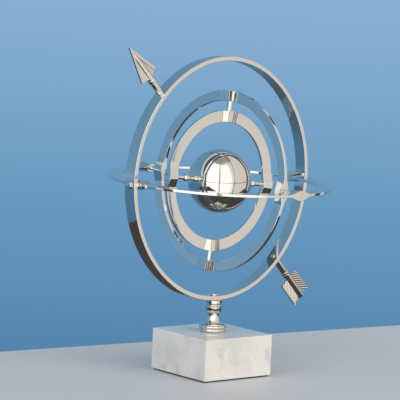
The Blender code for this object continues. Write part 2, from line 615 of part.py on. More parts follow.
def arrow_head():
    """The head: a casting with a rim along each outer edge, a hollowed web with flat facets, and a round
    spine whose socket takes the shaft's spigot."""
    frame = arrow_frame(ARROW_OUT)
    screwed_shaft(frame, "arrow_head_shaft", HEAD_SHAFT_R, HEAD_SHAFT_LENGTH, SPIGOT_LENGTH)
    arrow_screw(ARROW_OUT, "arrow_head_screw")
    root = HEAD_SHAFT_LENGTH + SEAT
    blade_root = root + SOCKET_LENGTH
    tip = blade_root + BLADE_LENGTH
    barb = blade_root + BARB_SWEEP
    span, half_tip = BLADE_HALF_SPAN, 0.4 * MM
    points = [(blade_root, 0), (barb, -span), (tip, -half_tip), (tip, half_tip), (barb, span)]
    head = plate("arrow_head", points, BLADE_THICKNESS, 0.5 * MM)
    head.matrix_local = frame

    meet = tip - RIM_END
    slope = (span - RIM_WIDTH) / (meet - barb)
    behind = blade_root - SOCKET_LENGTH
    far = (meet - behind) * slope
    hollow = plate("rim_gap", [(behind, -far), (meet, 0), (behind, far)], 2 * BLADE_THICKNESS, 0.2 * MM)
    hollow.matrix_local = frame
    PARTS.objects.unlink(hollow)
    CUTTERS.objects.link(hollow)
    cut(head, hollow)

    inset = 1.2 * MM
    web_points = [(blade_root + inset / 2, 0), (barb + inset, inset - span)]
    web_points += [(tip - 4 * inset, 0), (barb + inset, span - inset)]
    web = plate("arrow_web", web_points, WEB_THICKNESS, 0.1 * MM)
    web.matrix_local = frame
    join(head, web)
    pyramid = facets("arrow_facets", blade_root + inset / 3, barb + inset / 2, tip - 3.5 * inset)
    pyramid.matrix_local = frame
    join(head, pyramid)

    edge = 0.5 * MM
    bore, depth = SPIGOT_R + RUNNING, SPIGOT_LENGTH + SEAT
    outline = [(0, SOCKET_LENGTH + BLADE_LENGTH - 5.0 * MM), (SPINE_R * 0.45, SOCKET_LENGTH + BLADE_LENGTH * 0.74)]
    outline += [(SPINE_R * 0.75, SOCKET_LENGTH + BLADE_LENGTH * 0.48), (SPINE_R, SOCKET_LENGTH + 1.0 * MM)]
    outline += [(SOCKET_R, SOCKET_LENGTH - 1.0 * MM), (SOCKET_R, edge), (SOCKET_R - edge, 0), (0, 0)]
    join(head, rod_on(frame, "arrow_spine", outline, root))
    drill(head, "head_bore", bore, frame @ Vector((root - bore, 0, 0)), frame @ Vector((root + depth, 0, 0)))
    finish(head, NICKEL, 1, 0.2)


def barb_cutter(name, side):
    """Slanted V grooves for both faces of a vane, in the frame of the vane's root."""
    mesh = bpy.data.meshes.new(name)
    bm = bmesh.new()
    pitch = VANE_TIP_LENGTH / (VANE_BARBS + 1)
    lean = Matrix.Rotation(side * math.pi / 4, 4, "Z")
    section = BARB_DEPTH * math.sqrt(2)
    clear = FLETCH_CORE_R + 1.0 * MM
    length = 2 * VANE_HALF_SPAN
    for i in range(-2, VANE_BARBS):
        for face in (-1, 1):
            made = bmesh.ops.create_cube(bm, size=1)["verts"]
            bmesh.ops.scale(bm, vec=(length, section, section), verts=made)
            bmesh.ops.rotate(bm, matrix=Matrix.Rotation(math.pi / 4, 3, "X"), verts=made)
            bmesh.ops.translate(bm, vec=(length / 2, 0, 0), verts=made)
            bmesh.ops.transform(bm, matrix=lean, verts=made)
            root = ((i + 1) * pitch, side * clear, face * VANE_THICKNESS / 2)
            bmesh.ops.translate(bm, vec=root, verts=made)
    bm.to_mesh(mesh)
    bm.free()
    return add(name, mesh, CUTTERS)


def vane(frame, name, side, start):
    """A feathered vane in the arrow's plane, longer at its outer edge than at its root."""
    points = [(0, 0), (VANE_ROOT_LENGTH, 0), (VANE_TIP_LENGTH, side * VANE_HALF_SPAN), (0, side * VANE_HALF_SPAN)]
    obj = plate(name, points, VANE_THICKNESS, 0.3 * MM)
    obj.matrix_local = frame @ Matrix.Translation((start, 0, 0))
    barbs = barb_cutter(name + "_barbs", side)
    barbs.matrix_local = obj.matrix_local.copy()
    cut(obj, barbs)
    return obj


def arrow_tail():
    """The tail: a shaft on the hoop, a ferrule, and a fletching with two feathered vanes."""
    frame = arrow_frame(-ARROW_OUT)
    screwed_shaft(frame, "arrow_tail_shaft", TAIL_SHAFT_R, TAIL_SHAFT_LENGTH, 2 * SPIGOT_LENGTH)
    arrow_screw(-ARROW_OUT, "arrow_tail_screw")
    bore = SPIGOT_R + RUNNING
    start = TAIL_SHAFT_LENGTH + SEAT
    ferrule = rod_on(frame, "arrow_ferrule", sleeve(FERRULE_R, bore, FERRULE_LENGTH, 0, 0.8 * MM), start)
    finish(ferrule, NICKEL, 1, 0.12)
    start += FERRULE_LENGTH + SEAT
    depth = 2 * SPIGOT_LENGTH - FERRULE_LENGTH
    core_outline = chamfered(FLETCH_CORE_R, FLETCH_CORE_LENGTH, 0, 0.7 * MM)
    core = rod_on(frame, "arrow_fletching", core_outline, start)
    for side, name in ((-1, "lower"), (1, "upper")):
        join(core, vane(frame, "vane_" + name, side, start + VANE_START))
    mouth = frame @ Vector((start - bore, 0, 0))
    drill(core, "fletching_bore", bore, mouth, frame @ Vector((start + depth, 0, 0)))
    finish(core, NICKEL, 1, 0.2)


clear_scene()
PARTS = collection("armillary_sphere")
CUTTERS = collection("cutters", rendered=False)
ARROW_OUT = Vector((math.cos(ARROW_ANGLE), 0, math.sin(ARROW_ANGLE)))
ARROW_SCREW_REACH = HOOP_THICKNESS + SEAT + ARROW_SCREW_DEPTH
HORIZON = empty("horizon_pivot", (0, 0, NEST_CENTRE), (HORIZON_TILT, 0, 0))
MIDDLE = empty("middle_pivot", (0, 0, 0), (0, MIDDLE_TILT, 0), HORIZON)
INNER = empty("inner_pivot", (0, 0, 0), (0, 0, INNER_TURN), MIDDLE)
BALL = empty("ball_pivot", (0, 0, 0), (0, 0, 0), INNER)

stand()
hoop_band()
arrow_head()
arrow_tail()
gimbals()
ball_and_axles()
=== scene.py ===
import json
import math

import bmesh
import bpy
from mathutils import Matrix, Vector


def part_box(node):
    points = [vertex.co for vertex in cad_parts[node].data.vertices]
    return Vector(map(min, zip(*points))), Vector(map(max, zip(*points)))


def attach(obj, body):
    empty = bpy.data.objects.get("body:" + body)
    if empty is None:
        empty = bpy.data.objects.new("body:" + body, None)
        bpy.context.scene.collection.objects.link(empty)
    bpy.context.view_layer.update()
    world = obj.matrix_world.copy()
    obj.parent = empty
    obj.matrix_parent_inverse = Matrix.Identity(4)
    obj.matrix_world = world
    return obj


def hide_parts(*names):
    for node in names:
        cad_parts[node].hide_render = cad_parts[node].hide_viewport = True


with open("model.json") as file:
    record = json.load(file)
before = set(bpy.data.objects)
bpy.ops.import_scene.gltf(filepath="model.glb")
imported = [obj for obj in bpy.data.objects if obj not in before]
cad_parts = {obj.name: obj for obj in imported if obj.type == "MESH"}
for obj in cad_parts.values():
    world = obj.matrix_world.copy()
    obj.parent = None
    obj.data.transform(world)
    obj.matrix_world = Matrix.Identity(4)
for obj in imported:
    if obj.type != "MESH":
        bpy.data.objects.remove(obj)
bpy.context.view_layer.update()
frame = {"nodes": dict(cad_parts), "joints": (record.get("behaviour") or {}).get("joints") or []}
mm = 0.001
seatGap = 0.3  # the solids leave this much between pieces that rest on each other, in millimetres
scene = bpy.context.scene
print("frame loaded:", len(frame["nodes"]), "nodes")


# places, all read from the frame
hoopLow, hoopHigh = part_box("outer_hoop")
hoopRadius = (hoopHigh.x - hoopLow.x) / 2 / mm
hoopCentre = (hoopLow + hoopHigh) / 2
joints = {joint["child"]: joint for joint in frame["joints"]}
nestCentre = Vector(joints["horizon"]["pos_m"])
xAxis, yAxis, zAxis = Vector((1, 0, 0)), Vector((0, 1, 0)), Vector((0, 0, 1))
middleAxis, innerAxis, ballAxis = (
    Vector(joints[name]["axis"]).normalized() for name in ("middle", "inner", "ball")
)


def placeMatrix(across, up, centre):
    across = across.normalized()
    out = across.cross(up).normalized()
    up = out.cross(across)
    return Matrix.Translation(centre) @ Matrix((across, up, out)).transposed().to_4x4()


hoopPlace = placeMatrix(xAxis, zAxis, hoopCentre)
horizonPlace = placeMatrix(xAxis, middleAxis, nestCentre)
middlePlace = placeMatrix(innerAxis, middleAxis, nestCentre)
innerPlace = placeMatrix(ballAxis, innerAxis, nestCentre)


def addNode(tree, kind, settings=None):
    # a setting is a property of the node, an input's value, or a socket to link to that input
    node = tree.nodes.new(kind)
    for key, value in (settings or {}).items():
        if isinstance(value, bpy.types.NodeSocket):
            tree.links.new(value, node.inputs[key])
        elif isinstance(key, str) and hasattr(node, key):
            setattr(node, key, value)
        else:
            node.inputs[key].default_value = value
    return node


def newTree(name, inputs):
    tree = bpy.data.node_groups.new(name, "GeometryNodeTree")
    tree.is_modifier = True
    tree.interface.new_socket("Geometry", in_out="INPUT", socket_type="NodeSocketGeometry")
    for label, kind in inputs:
        tree.interface.new_socket(label, in_out="INPUT", socket_type="NodeSocket" + kind)
    tree.interface.new_socket("Geometry", in_out="OUTPUT", socket_type="NodeSocketGeometry")
    return tree, tree.nodes.new("NodeGroupInput"), tree.nodes.new("NodeGroupOutput")


def endTree(tree, given, made, shape):
    whole = addNode(tree, "GeometryNodeRealizeInstances", {"Geometry": shape})
    painted = {"Geometry": whole.outputs[0], "Material": given.outputs["Finish"]}
    tree.links.new(addNode(tree, "GeometryNodeSetMaterial", painted).outputs[0], made.inputs[0])
    return tree


def meshFrom(bm, name):
    mesh = bpy.data.meshes.new(name)
    bm.to_mesh(mesh)
    bm.free()
    return mesh


def newObject(name, mesh):
    obj = bpy.data.objects.new(name, mesh)
    scene.collection.objects.link(obj)
    return obj


def growTree(obj, tree, values):
    # a modifier's inputs are set by their identifiers, before anything is evaluated
    modifier = obj.modifiers.new(tree.name, "NODES")
    modifier.node_group = tree
    for item in tree.interface.items_tree:
        if item.item_type == "SOCKET" and item.in_out == "INPUT" and item.name in values:
            modifier[item.identifier] = values[item.name]


def bake(obj):
    # the evaluated shape becomes a plain mesh, and the modifiers go
    graph = bpy.context.evaluated_depsgraph_get()
    made = bpy.data.meshes.new_from_object(obj.evaluated_get(graph))
    obj.modifiers.clear()
    obj.data = made
    return obj


def cutWith(obj, cutter, operation="DIFFERENCE"):
    modifier = obj.modifiers.new("cut", "BOOLEAN")
    modifier.operation = operation
    modifier.object = cutter
    modifier.solver = "EXACT"
    bake(obj)
    bpy.data.objects.remove(cutter, do_unlink=True)


def smoothFaces(obj, sharpAngle=32):
    # flat faces stay flat in a reflection, and only the fine bevels turn the light
    obj.data.shade_smooth()
    obj.data.set_sharp_from_angle(angle=math.radians(sharpAngle))
    weighted = obj.modifiers.new("normals", "WEIGHTED_NORMAL")
    weighted.keep_sharp = True
    weighted.weight = 80
    bake(obj)


def settle(obj, body, nodes, finish, sharpAngle=32):
    obj.data.materials.clear()
    obj.data.materials.append(finish)
    smoothFaces(obj, sharpAngle)
    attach(obj, body)
    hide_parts(*nodes)
    return obj


def arcPoints(centre, radii, first, last, count):
    steps = [math.radians(first + (last - first) * i / count) for i in range(count + 1)]
    return [(centre[0] + radii[0] * math.cos(a), centre[1] + radii[1] * math.sin(a)) for a in steps]


def turnedMesh(name, outline, steps=96):
    # outline is (radius, height) in millimetres, from the top down its outer side
    bm = bmesh.new()
    points = [bm.verts.new((r * mm, 0, z * mm)) for r, z in outline]
    edges = [bm.edges.new(pair) for pair in zip(points, points[1:])]
    if outline[0][0] > 0:
        edges.append(bm.edges.new((points[-1], points[0])))
    bmesh.ops.spin(bm, geom=points + edges, axis=(0, 0, 1), cent=(0, 0, 0), angle=2 * math.pi, steps=steps)
    bmesh.ops.remove_doubles(bm, verts=bm.verts, dist=1e-7)
    bmesh.ops.recalc_face_normals(bm, faces=bm.faces)
    return meshFrom(bm, name)


def rodOutline(radius, top, bottom, chamfer):
    upper = arcPoints((radius - chamfer, top - chamfer), (chamfer, chamfer), 90, 0, 4)
    lower = arcPoints((radius - chamfer, bottom + chamfer), (chamfer, chamfer), 0, -90, 4)
    return [(0, top), *upper, *lower, (0, bottom)]


def sleeveOutline(radius, bore, top, bottom, chamfer):
    return rodOutline(radius, top, bottom, chamfer)[1:-1] + [(bore, bottom), (bore, top)]


def boxMesh(name, size, centre):
    bm = bmesh.new()
    bmesh.ops.create_cube(bm, size=1)
    bmesh.ops.scale(bm, vec=[side * mm for side in size], verts=bm.verts)
    bmesh.ops.translate(bm, vec=[c * mm for c in centre], verts=bm.verts)
    return meshFrom(bm, name)


def linear(hexValue):
    channels = [int(hexValue[i : i + 2], 16) / 255 for i in (1, 3, 5)]
    return [c / 12.92 if c <= 0.04045 else ((c + 0.055) / 1.055) ** 2.4 for c in channels] + [1]


def newFinish(name, settings):
    finish = bpy.data.materials.new(name)
    finish.use_nodes = True
    tree = finish.node_tree
    shader = tree.nodes["Principled BSDF"]
    for key, value in settings.items():
        shader.inputs[key].default_value = value
    coordinates = addNode(tree, "ShaderNodeTexCoord").outputs["Object"]
    return finish, tree, shader, coordinates


# polished nickel plate over buffed brass: a mirror with a warm cast, and faint hazy patches from handling
nickelLook = {"colour": "#E2DFDA", "haze": (0.035, 0.085), "hazeSize": 28, "buffing": 2.4, "depth": 0.000004}


def nickelFinish(name, look):
    finish, tree, shader, coordinates = newFinish(
        name, {"Base Color": linear(look["colour"]), "Metallic": 1.0}
    )
    hazeScale = 1000 / look["hazeSize"]
    haze = addNode(
        tree, "ShaderNodeTexNoise", {"Scale": hazeScale, "Detail": 4, "Roughness": 0.6, "Vector": coordinates}
    )
    low, high = look["haze"]
    rough = addNode(
        tree, "ShaderNodeMapRange",
        {"From Min": 0.35, "From Max": 0.7, "To Min": low, "To Max": high, "Value": haze.outputs["Fac"]}
    )
    tree.links.new(rough.outputs["Result"], shader.inputs["Roughness"])
    # buffing ripples, drawn coarser than real ones so that they soften the edge of a reflection
    ripple = addNode(
        tree, "ShaderNodeTexNoise", {"Scale": 1000 / look["buffing"], "Detail": 2, "Vector": coordinates}
    )
    bump = addNode(
        tree, "ShaderNodeBump", {"Strength": 0.25, "Distance": look["depth"], "Height": ripple.outputs["Fac"]}
    )
    tree.links.new(bump.outputs["Normal"], shader.inputs["Normal"])
    return finish


polishedNickel = nickelFinish("polishedNickel", nickelLook)
# the ball is buffed finer than the flat work, so it mirrors the whole room nearly clean
ballNickel = nickelFinish(
    "ballNickel", {**nickelLook, "haze": (0.012, 0.03), "hazeSize": 45, "depth": 0.000002}
)
# lathe-turned work keeps more haze in its beads and quirks, so its highlights are softer
turnedNickel = nickelFinish(
    "turnedNickel", {**nickelLook, "haze": (0.05, 0.1), "hazeSize": 14, "buffing": 3, "depth": 0.000004}
)
# sand-cast pieces are only tumbled before plating, so their faces stay satin
castNickel = nickelFinish(
    "castNickel",
    {
        **nickelLook, "colour": "#DEDAD3", "haze": (0.16, 0.24), "hazeSize": 9, "buffing": 2.2,
        "depth": 0.000006
    }
)

# white marble, honed and polished: cloudy grey bands and a few thin darker veins under a clear gloss
marbleLook = {
    "white": "#DCDBD8", "cloud": "#C8C8C7", "vein": "#A9ABB0",
    "cloudSize": 60, "veinSize": 85, "patchScale": 22, "grain": 1.6,
}


def marbleFinish(look):
    finish, tree, shader, coordinates = newFinish("polishedMarble", {"Roughness": 0.11, "IOR": 1.52})
    turned = addNode(tree, "ShaderNodeMapping", {"Rotation": (0.5, 0.7, 0.3), "Vector": coordinates})
    bend = addNode(
        tree, "ShaderNodeTexNoise",
        {
            "Scale": 1000 / look["cloudSize"], "Detail": 6, "Roughness": 0.62,
            "Vector": turned.outputs["Vector"]
        }
    )
    pull = addNode(
        tree, "ShaderNodeVectorMath", {"operation": "SCALE", "Scale": 0.055, 0: bend.outputs["Color"]}
    )
    bent = addNode(
        tree, "ShaderNodeVectorMath",
        {"operation": "ADD", 0: turned.outputs["Vector"], 1: pull.outputs["Vector"]}
    )
    veins = addNode(
        tree, "ShaderNodeTexNoise",
        {"Scale": 1000 / look["veinSize"], "Detail": 3, "Roughness": 0.5, "Vector": bent.outputs["Vector"]}
    )
    nearHalf = addNode(tree, "ShaderNodeMath", {"operation": "SUBTRACT", 1: 0.5, 0: veins.outputs["Fac"]})
    away = addNode(tree, "ShaderNodeMath", {"operation": "ABSOLUTE", 0: nearHalf.outputs[0]})
    thin = addNode(
        tree, "ShaderNodeMapRange",
        {"From Min": 0.0, "From Max": 0.02, "To Min": 1, "To Max": 0, "Value": away.outputs[0]}
    )
    patches = {"Scale": look["patchScale"], "Detail": 1, "Vector": coordinates}
    strength = addNode(tree, "ShaderNodeTexNoise", patches)
    fades = addNode(
        tree, "ShaderNodeMapRange",
        {"From Min": 0.45, "From Max": 0.68, "To Min": 0, "To Max": 0.55, "Value": strength.outputs["Fac"]}
    )
    veinAmount = addNode(
        tree, "ShaderNodeMath",
        {"operation": "MULTIPLY", 0: thin.outputs["Result"], 1: fades.outputs["Result"]}
    )
    cloudAmount = addNode(
        tree, "ShaderNodeMapRange", {"From Min": 0.42, "From Max": 0.66, "Value": bend.outputs["Fac"]}
    )
    body = addNode(
        tree, "ShaderNodeMix",
        {
            "data_type": "RGBA", 6: linear(look["white"]), 7: linear(look["cloud"]),
            0: cloudAmount.outputs["Result"]
        }
    )
    veined = addNode(
        tree, "ShaderNodeMix",
        {"data_type": "RGBA", 7: linear(look["vein"]), 0: veinAmount.outputs[0], 6: body.outputs[2]}
    )
    # calcite grains, which give the polished faces a faint sparkle
    crystals = addNode(tree, "ShaderNodeTexVoronoi", {"Scale": 1000 / look["grain"], "Vector": coordinates})
    sparkle = addNode(
        tree, "ShaderNodeMix",
        {
            "data_type": "RGBA", "blend_type": "SOFT_LIGHT", 0: 0.2, 6: veined.outputs[2],
            7: crystals.outputs["Color"]
        }
    )
    tree.links.new(sparkle.outputs[2], shader.inputs["Base Color"])
    return finish


polishedMarble = marbleFinish(marbleLook)

# wool felt: dark and soft with no shine, so the block seems to float on a thin shadow
feltLook = {"colour": "#2B2C2F", "fibreScale": 900, "nap": 0.4}
feltFinish, feltTree, feltShader, feltCoordinates = newFinish(
    "woolFelt", {"Base Color": linear(feltLook["colour"]), "Roughness": 0.95, "Sheen Weight": 0.4}
)
fibreSize = {"Scale": feltLook["fibreScale"], "Detail": 3, "Vector": feltCoordinates}
fibres = addNode(feltTree, "ShaderNodeTexNoise", fibreSize)
nap = {"Strength": 0.6, "Distance": feltLook["nap"] * mm, "Height": fibres.outputs["Fac"]}
fibreBump = addNode(feltTree, "ShaderNodeBump", nap)
feltTree.links.new(fibreBump.outputs["Normal"], feltShader.inputs["Normal"])
# zinc plate on the hidden nut and washer: grey, dull and faintly mottled
zincFinish = nickelFinish(
    "zincPlate", {**nickelLook, "colour": "#B9BBBA", "haze": (0.28, 0.4), "hazeSize": 4, "depth": 0.00003}
)
print("finishes made")


# the flat rings: one tree makes the hoop and the three gimbal rings
ringInputs = [
    ("Outer Radius", "Float"),
    ("Width", "Float"),
    ("Thickness", "Float"),
    ("Edge", "Float"),
    ("Outer Reach", "Float"),
    ("Inner Reach", "Float"),
    ("Lug X", "Float"),
    ("Lug Y", "Float"),
    ("Lug Taper", "Float"),
    ("Steps", "Int"),
    ("Finish", "Material"),
]


def makeRingTree():
    tree, given, made = newTree("lugRing", ringInputs)
    get = given.outputs
    centreLine = {"operation": "MULTIPLY_ADD", 0: get["Width"], 1: -0.5, 2: get["Outer Radius"]}
    middleRadius = addNode(tree, "ShaderNodeMath", centreLine).outputs[0]
    circle = addNode(
        tree, "GeometryNodeCurvePrimitiveCircle", {"Resolution": get["Steps"], "Radius": middleRadius}
    )
    sides = {"Width": get["Width"], "Height": get["Thickness"]}
    section = addNode(tree, "GeometryNodeCurvePrimitiveQuadrilateral", sides)
    corners = {"mode": "POLY", "Count": 4, "Curve": section.outputs[0], "Radius": get["Edge"]}
    rounded = addNode(tree, "GeometryNodeFilletCurve", corners)
    swept = {"Curve": circle.outputs[0], "Profile Curve": rounded.outputs[0]}
    band = addNode(tree, "GeometryNodeCurveToMesh", swept)
    place = addNode(tree, "GeometryNodeInputPosition")
    x, y, z = addNode(tree, "ShaderNodeSeparateXYZ", {0: place.outputs[0]}).outputs
    level = addNode(tree, "ShaderNodeCombineXYZ", {0: x, 1: y})
    radius = addNode(tree, "ShaderNodeVectorMath", {"operation": "LENGTH", 0: level.outputs[0]})
    known = {socket.name: socket for socket in get}
    known.update(x=x, y=y, z=z, radius=radius.outputs["Value"])
    # each line names a result, how it is worked out, and from what
    sums = [
        ("turn", "ARCTAN2", "y", "x"),
        ("fromAxis", "WRAP", "turn", math.pi / 4, -math.pi / 4),
        ("off", "ABSOLUTE", "fromAxis"),
        ("twice", "MULTIPLY", "turn", 2.0),
        ("facing", "COSINE", "twice"),
        ("onX", "GREATER_THAN", "facing", 0.0),
        ("extra", "SUBTRACT", "Lug X", "Lug Y"),
        ("lug", "MULTIPLY_ADD", "onX", "extra", "Lug Y"),
        ("depth", "SUBTRACT", "Outer Radius", "radius"),
        ("inward", "DIVIDE", "depth", "Width"),
        ("fall", "MULTIPLY", "inward", "Lug Taper"),
        ("tapered", "SUBTRACT", "lug", "fall"),
        ("shrink", "SUBTRACT", "Outer Reach", "Inner Reach"),
        ("shorter", "MULTIPLY", "inward", "shrink"),
        ("length", "SUBTRACT", "Outer Reach", "shorter"),
        ("reach", "DIVIDE", "length", "radius"),
        ("part", "DIVIDE", "off", "reach"),
        ("share", "MINIMUM", "part", 1.0),
        ("angle", "MULTIPLY", "share", math.pi / 2),
        ("wave", "COSINE", "angle"),
        ("swell", "POWER", "wave", 2.0),
        ("half", "MULTIPLY", "Thickness", 0.5),
        ("above", "SUBTRACT", "tapered", "half"),
        ("rise", "MAXIMUM", "above", 0.0),
        ("swollen", "MULTIPLY", "rise", "swell"),
        ("face", "SIGN", "z"),
        ("lift", "MULTIPLY", "swollen", "face"),
    ]
    for name, operation, *values in sums:
        terms = {number: known.get(value, value) for number, value in enumerate(values)}
        known[name] = addNode(tree, "ShaderNodeMath", {"operation": operation, **terms}).outputs[0]
    offset = addNode(tree, "ShaderNodeCombineXYZ", {2: known["lift"]})
    moved = {"Geometry": band.outputs[0], "Offset": offset.outputs[0]}
    raised = addNode(tree, "GeometryNodeSetPosition", moved)
    return endTree(tree, given, made, raised.outputs[0])


ringTree = makeRingTree()


def boreCutter(bores):
    # one cylinder for each bore, given as (radius, start, end)
    bm = bmesh.new()
    for radius, start, end in bores:
        start, end = Vector(start) * mm, Vector(end) * mm
        turn = (end - start).to_track_quat("Z", "Y").to_matrix().to_4x4()
        bmesh.ops.create_cone(
            bm, cap_ends=True, segments=40, radius1=radius * mm, radius2=radius * mm,
            depth=(end - start).length, matrix=Matrix.Translation((start + end) / 2) @ turn,
        )
    return newObject("bores", meshFrom(bm, "bores"))


clear = 4  # cutters run this far past a face, in millimetres
fit = 0.3  # play between a pin and its bore
grip = 9.0  # how deep a pin or screw sits in a lug
pivotRadius, smallPivotRadius, poleRadius = 2.5, 1.7, 3.35
sunkHead = {"radius": 3.9, "height": 1.8}


def ringBores(look):
    # both ends of an axis get the same bore, in from the outer edge to its depth; None goes right through
    bores = []
    for side in (-1, 1):
        for axis, radius, depth in look["bores"]:
            near = look["outer"] - (depth or look["width"] + clear)
            far = look["outer"] + clear
            way = Vector(axis).normalized() * side
            across = Vector((0, look.get("drop", 0) * axis[0], 0))
            bores.append((radius, across + way * near, across + way * far))
    return bores


def makeRing(name, look, place, body, node):
    band = newObject(name, bpy.data.meshes.new(name))
    lengths = {
        "Outer Radius": look["outer"],
        "Width": look["width"],
        "Thickness": look["thickness"],
        "Edge": look["edge"],
        "Outer Reach": look["lugReach"][0],
        "Inner Reach": look["lugReach"][1],
        "Lug X": look["lugs"][0],
        "Lug Y": look["lugs"][1],
        "Lug Taper": look["lugTaper"],
    }
    values = {label: length * mm for label, length in lengths.items()}
    growTree(band, ringTree, {**values, "Steps": 720, "Finish": polishedNickel})
    bake(band)
    cutWith(band, boreCutter(ringBores(look) + look.get("moreBores", [])))
    band.data.transform(place)
    print(name, "made,", len(band.data.polygons), "faces")
    return settle(band, body, [node], polishedNickel)


hoopLook = {
    "outer": hoopRadius, "width": 5.2, "thickness": 17.2, "edge": 0.5,
    "lugReach": (1, 1), "lugs": (0, 0), "lugTaper": 0,
    "bores": [((1, 0, 0), pivotRadius + fit, None)], "drop": (nestCentre.z - hoopCentre.z) / mm,
    "arrowBore": 2.2, "boltBore": 3.3,
}
hoopInside, hoopOutside = hoopRadius - hoopLook["width"] - clear, hoopRadius + clear
arrowWay = Vector((-1, 1, 0)).normalized()
hoopLook["moreBores"] = [
    (hoopLook["arrowBore"], arrowWay * side * hoopInside, arrowWay * side * hoopOutside) for side in (-1, 1)
]
hoopLook["moreBores"].append((hoopLook["boltBore"], (0, -hoopInside, 0), (0, -hoopOutside, 0)))
makeRing("hoopBand", hoopLook, hoopPlace, "stand", "outer_hoop")

lugLook = {"edge": 0.5, "lugReach": (19, 13.5), "lugTaper": 1.2}
horizonLook = {
    **lugLook, "outer": 140.4, "width": 17.0, "thickness": 3.4, "lugs": (6.4, 6.4),
    "bores": [
        ((1, 0, 0), pivotRadius + fit, grip + fit),
        ((0, 1, 0), smallPivotRadius + fit, None),
        ((0, 1, 0), sunkHead["radius"] + fit, sunkHead["height"] + fit),
    ],
}
makeRing("horizonBand", horizonLook, horizonPlace, "horizon", "horizon_ring")

middleLook = {
    **lugLook, "outer": 113.0, "width": 12.8, "thickness": 4.4, "lugs": (7.25, 6.4),
    "bores": [((1, 0, 0), poleRadius + fit, None), ((0, 1, 0), smallPivotRadius + fit, grip + fit)],
}
makeRing("middleBand", middleLook, middlePlace, "middle", "middle_ring")

innerLook = {
    **lugLook, "outer": 88.2, "width": 14.2, "thickness": 3.6, "lugs": (6.4, 7.25),
    "bores": [((1, 0, 0), pivotRadius + fit, None), ((0, 1, 0), poleRadius + fit, grip + fit)],
}
makeRing("innerBand", innerLook, innerPlace, "inner", "inner_ring")


def makePairTree():
    # pieces that sit in pairs on an axis: the tree sets a turned piece on both sides
    tree, given, made = newTree("oppositePair", [("Finish", "Material")])
    sides = addNode(tree, "GeometryNodeMeshLine", {"Count": 2, "Offset": (0, 0, 0)})
    index = addNode(tree, "GeometryNodeInputIndex")
    half = addNode(tree, "ShaderNodeMath", {"operation": "MULTIPLY", 0: index.outputs[0], 1: math.pi})
    turn = addNode(tree, "ShaderNodeCombineXYZ", {0: half.outputs[0]})
    placed = addNode(
        tree, "GeometryNodeInstanceOnPoints",
        {"Points": sides.outputs[0], "Instance": given.outputs[0], "Rotation": turn.outputs[0]}
    )
    return endTree(tree, given, made, placed.outputs[0])


pairTree = makePairTree()


def pairOn(name, outline, place, body, nodes, finish, slotWidth=0, slotDepth=0, slotTurn=0):
    # place carries the piece's own Z to the axis; the outline already stands at its distance from the centre
    piece = newObject(name, turnedMesh(name, outline))
    if slotWidth:
        top = max(z for _, z in outline)
        cutter = newObject("slot", boxMesh("slot", (slotWidth, 40, slotDepth * 2), (0, 0, top)))
        cutter.data.transform(Matrix.Rotation(math.radians(slotTurn), 4, "Z"))
        cutWith(piece, cutter)
    growTree(piece, pairTree, {"Finish": finish})
    bake(piece)
    piece.data.transform(place)
    return settle(piece, body, nodes, finish)


def alongX(matrix):
    # turns a piece's own Z to the matrix's X
    return matrix @ Matrix.Rotation(math.pi / 2, 4, "Y")


def alongY(matrix):
    return matrix @ Matrix.Rotation(-math.pi / 2, 4, "X")


screwLook = {"shank": pivotRadius, "head": 4.3, "height": 2.2}


def panOutline(look, seat, reach):
    # a low domed head on its shank, its underside at seat
    head, height = look["head"], look["height"]
    dome = arcPoints((0, seat + height * 0.35), (head, height * 0.65), 90, 12, 14)[1:]
    rim = [(head, seat + height * 0.35), (head, seat + 0.25), (head - 0.25, seat)]
    return [
        (0, seat + height), *dome, *rim, (look["shank"], seat),
        *rodOutline(look["shank"], seat, seat - reach, 0.6)[6:]
    ]


hoopSeat = hoopRadius + seatGap
reach = hoopSeat - horizonLook["outer"] + grip
nestOnX = alongX(Matrix.Translation(nestCentre))
pairOn(
    "hoopPivotScrews", panOutline(screwLook, hoopSeat, reach), nestOnX, "stand",
    ["hoop_pivot_screw_left", "hoop_pivot_screw_right"], polishedNickel,
    slotWidth=1.1, slotDepth=0.9, slotTurn=12,
)
spacerLook = {"wide": 4.7, "wideLength": 6.8, "thin": 2.9, "thinLength": 10.4, "edge": 0.5, "thinEdge": 0.3}
outerSpacer = sleeveOutline(
    spacerLook["wide"], pivotRadius + fit, horizonLook["outer"] + spacerLook["wideLength"] - seatGap,
    horizonLook["outer"] + seatGap, spacerLook["edge"],
)
pairOn(
    "hoopPivotSpacers", outerSpacer, nestOnX, "stand",
    ["hoop_pivot_spacer_left", "hoop_pivot_spacer_right"], polishedNickel,
)

sunkSeat = horizonLook["outer"] - sunkHead["height"]
sunkFoot = middleLook["outer"] - grip
sunkOutline = [(0, horizonLook["outer"])]
sunkOutline += arcPoints((sunkHead["radius"] - 0.3, horizonLook["outer"] - 0.3), (0.3, 0.3), 90, 0, 4)
sunkOutline += [
    (sunkHead["radius"], sunkSeat), (smallPivotRadius, sunkSeat), (smallPivotRadius, sunkFoot + 0.5)
]
sunkOutline += [(smallPivotRadius - 0.5, sunkFoot), (0, sunkFoot)]
pairOn(
    "horizonScrews", sunkOutline, alongY(horizonPlace), "horizon",
    ["middle_pivot_screw_front", "middle_pivot_screw_back"], polishedNickel,
    slotWidth=1.0, slotDepth=0.9, slotTurn=25,
)
innerSpacer = sleeveOutline(
    spacerLook["thin"], smallPivotRadius + fit, middleLook["outer"] + spacerLook["thinLength"] - seatGap,
    middleLook["outer"] + seatGap, spacerLook["thinEdge"],
)
pairOn(
    "horizonSpacers", innerSpacer, alongY(horizonPlace), "horizon",
    ["middle_pivot_spacer_front", "middle_pivot_spacer_back"], polishedNickel,
)
poleOutline = rodOutline(poleRadius, middleLook["outer"] - 0.5, innerLook["outer"] - grip, 0.5)
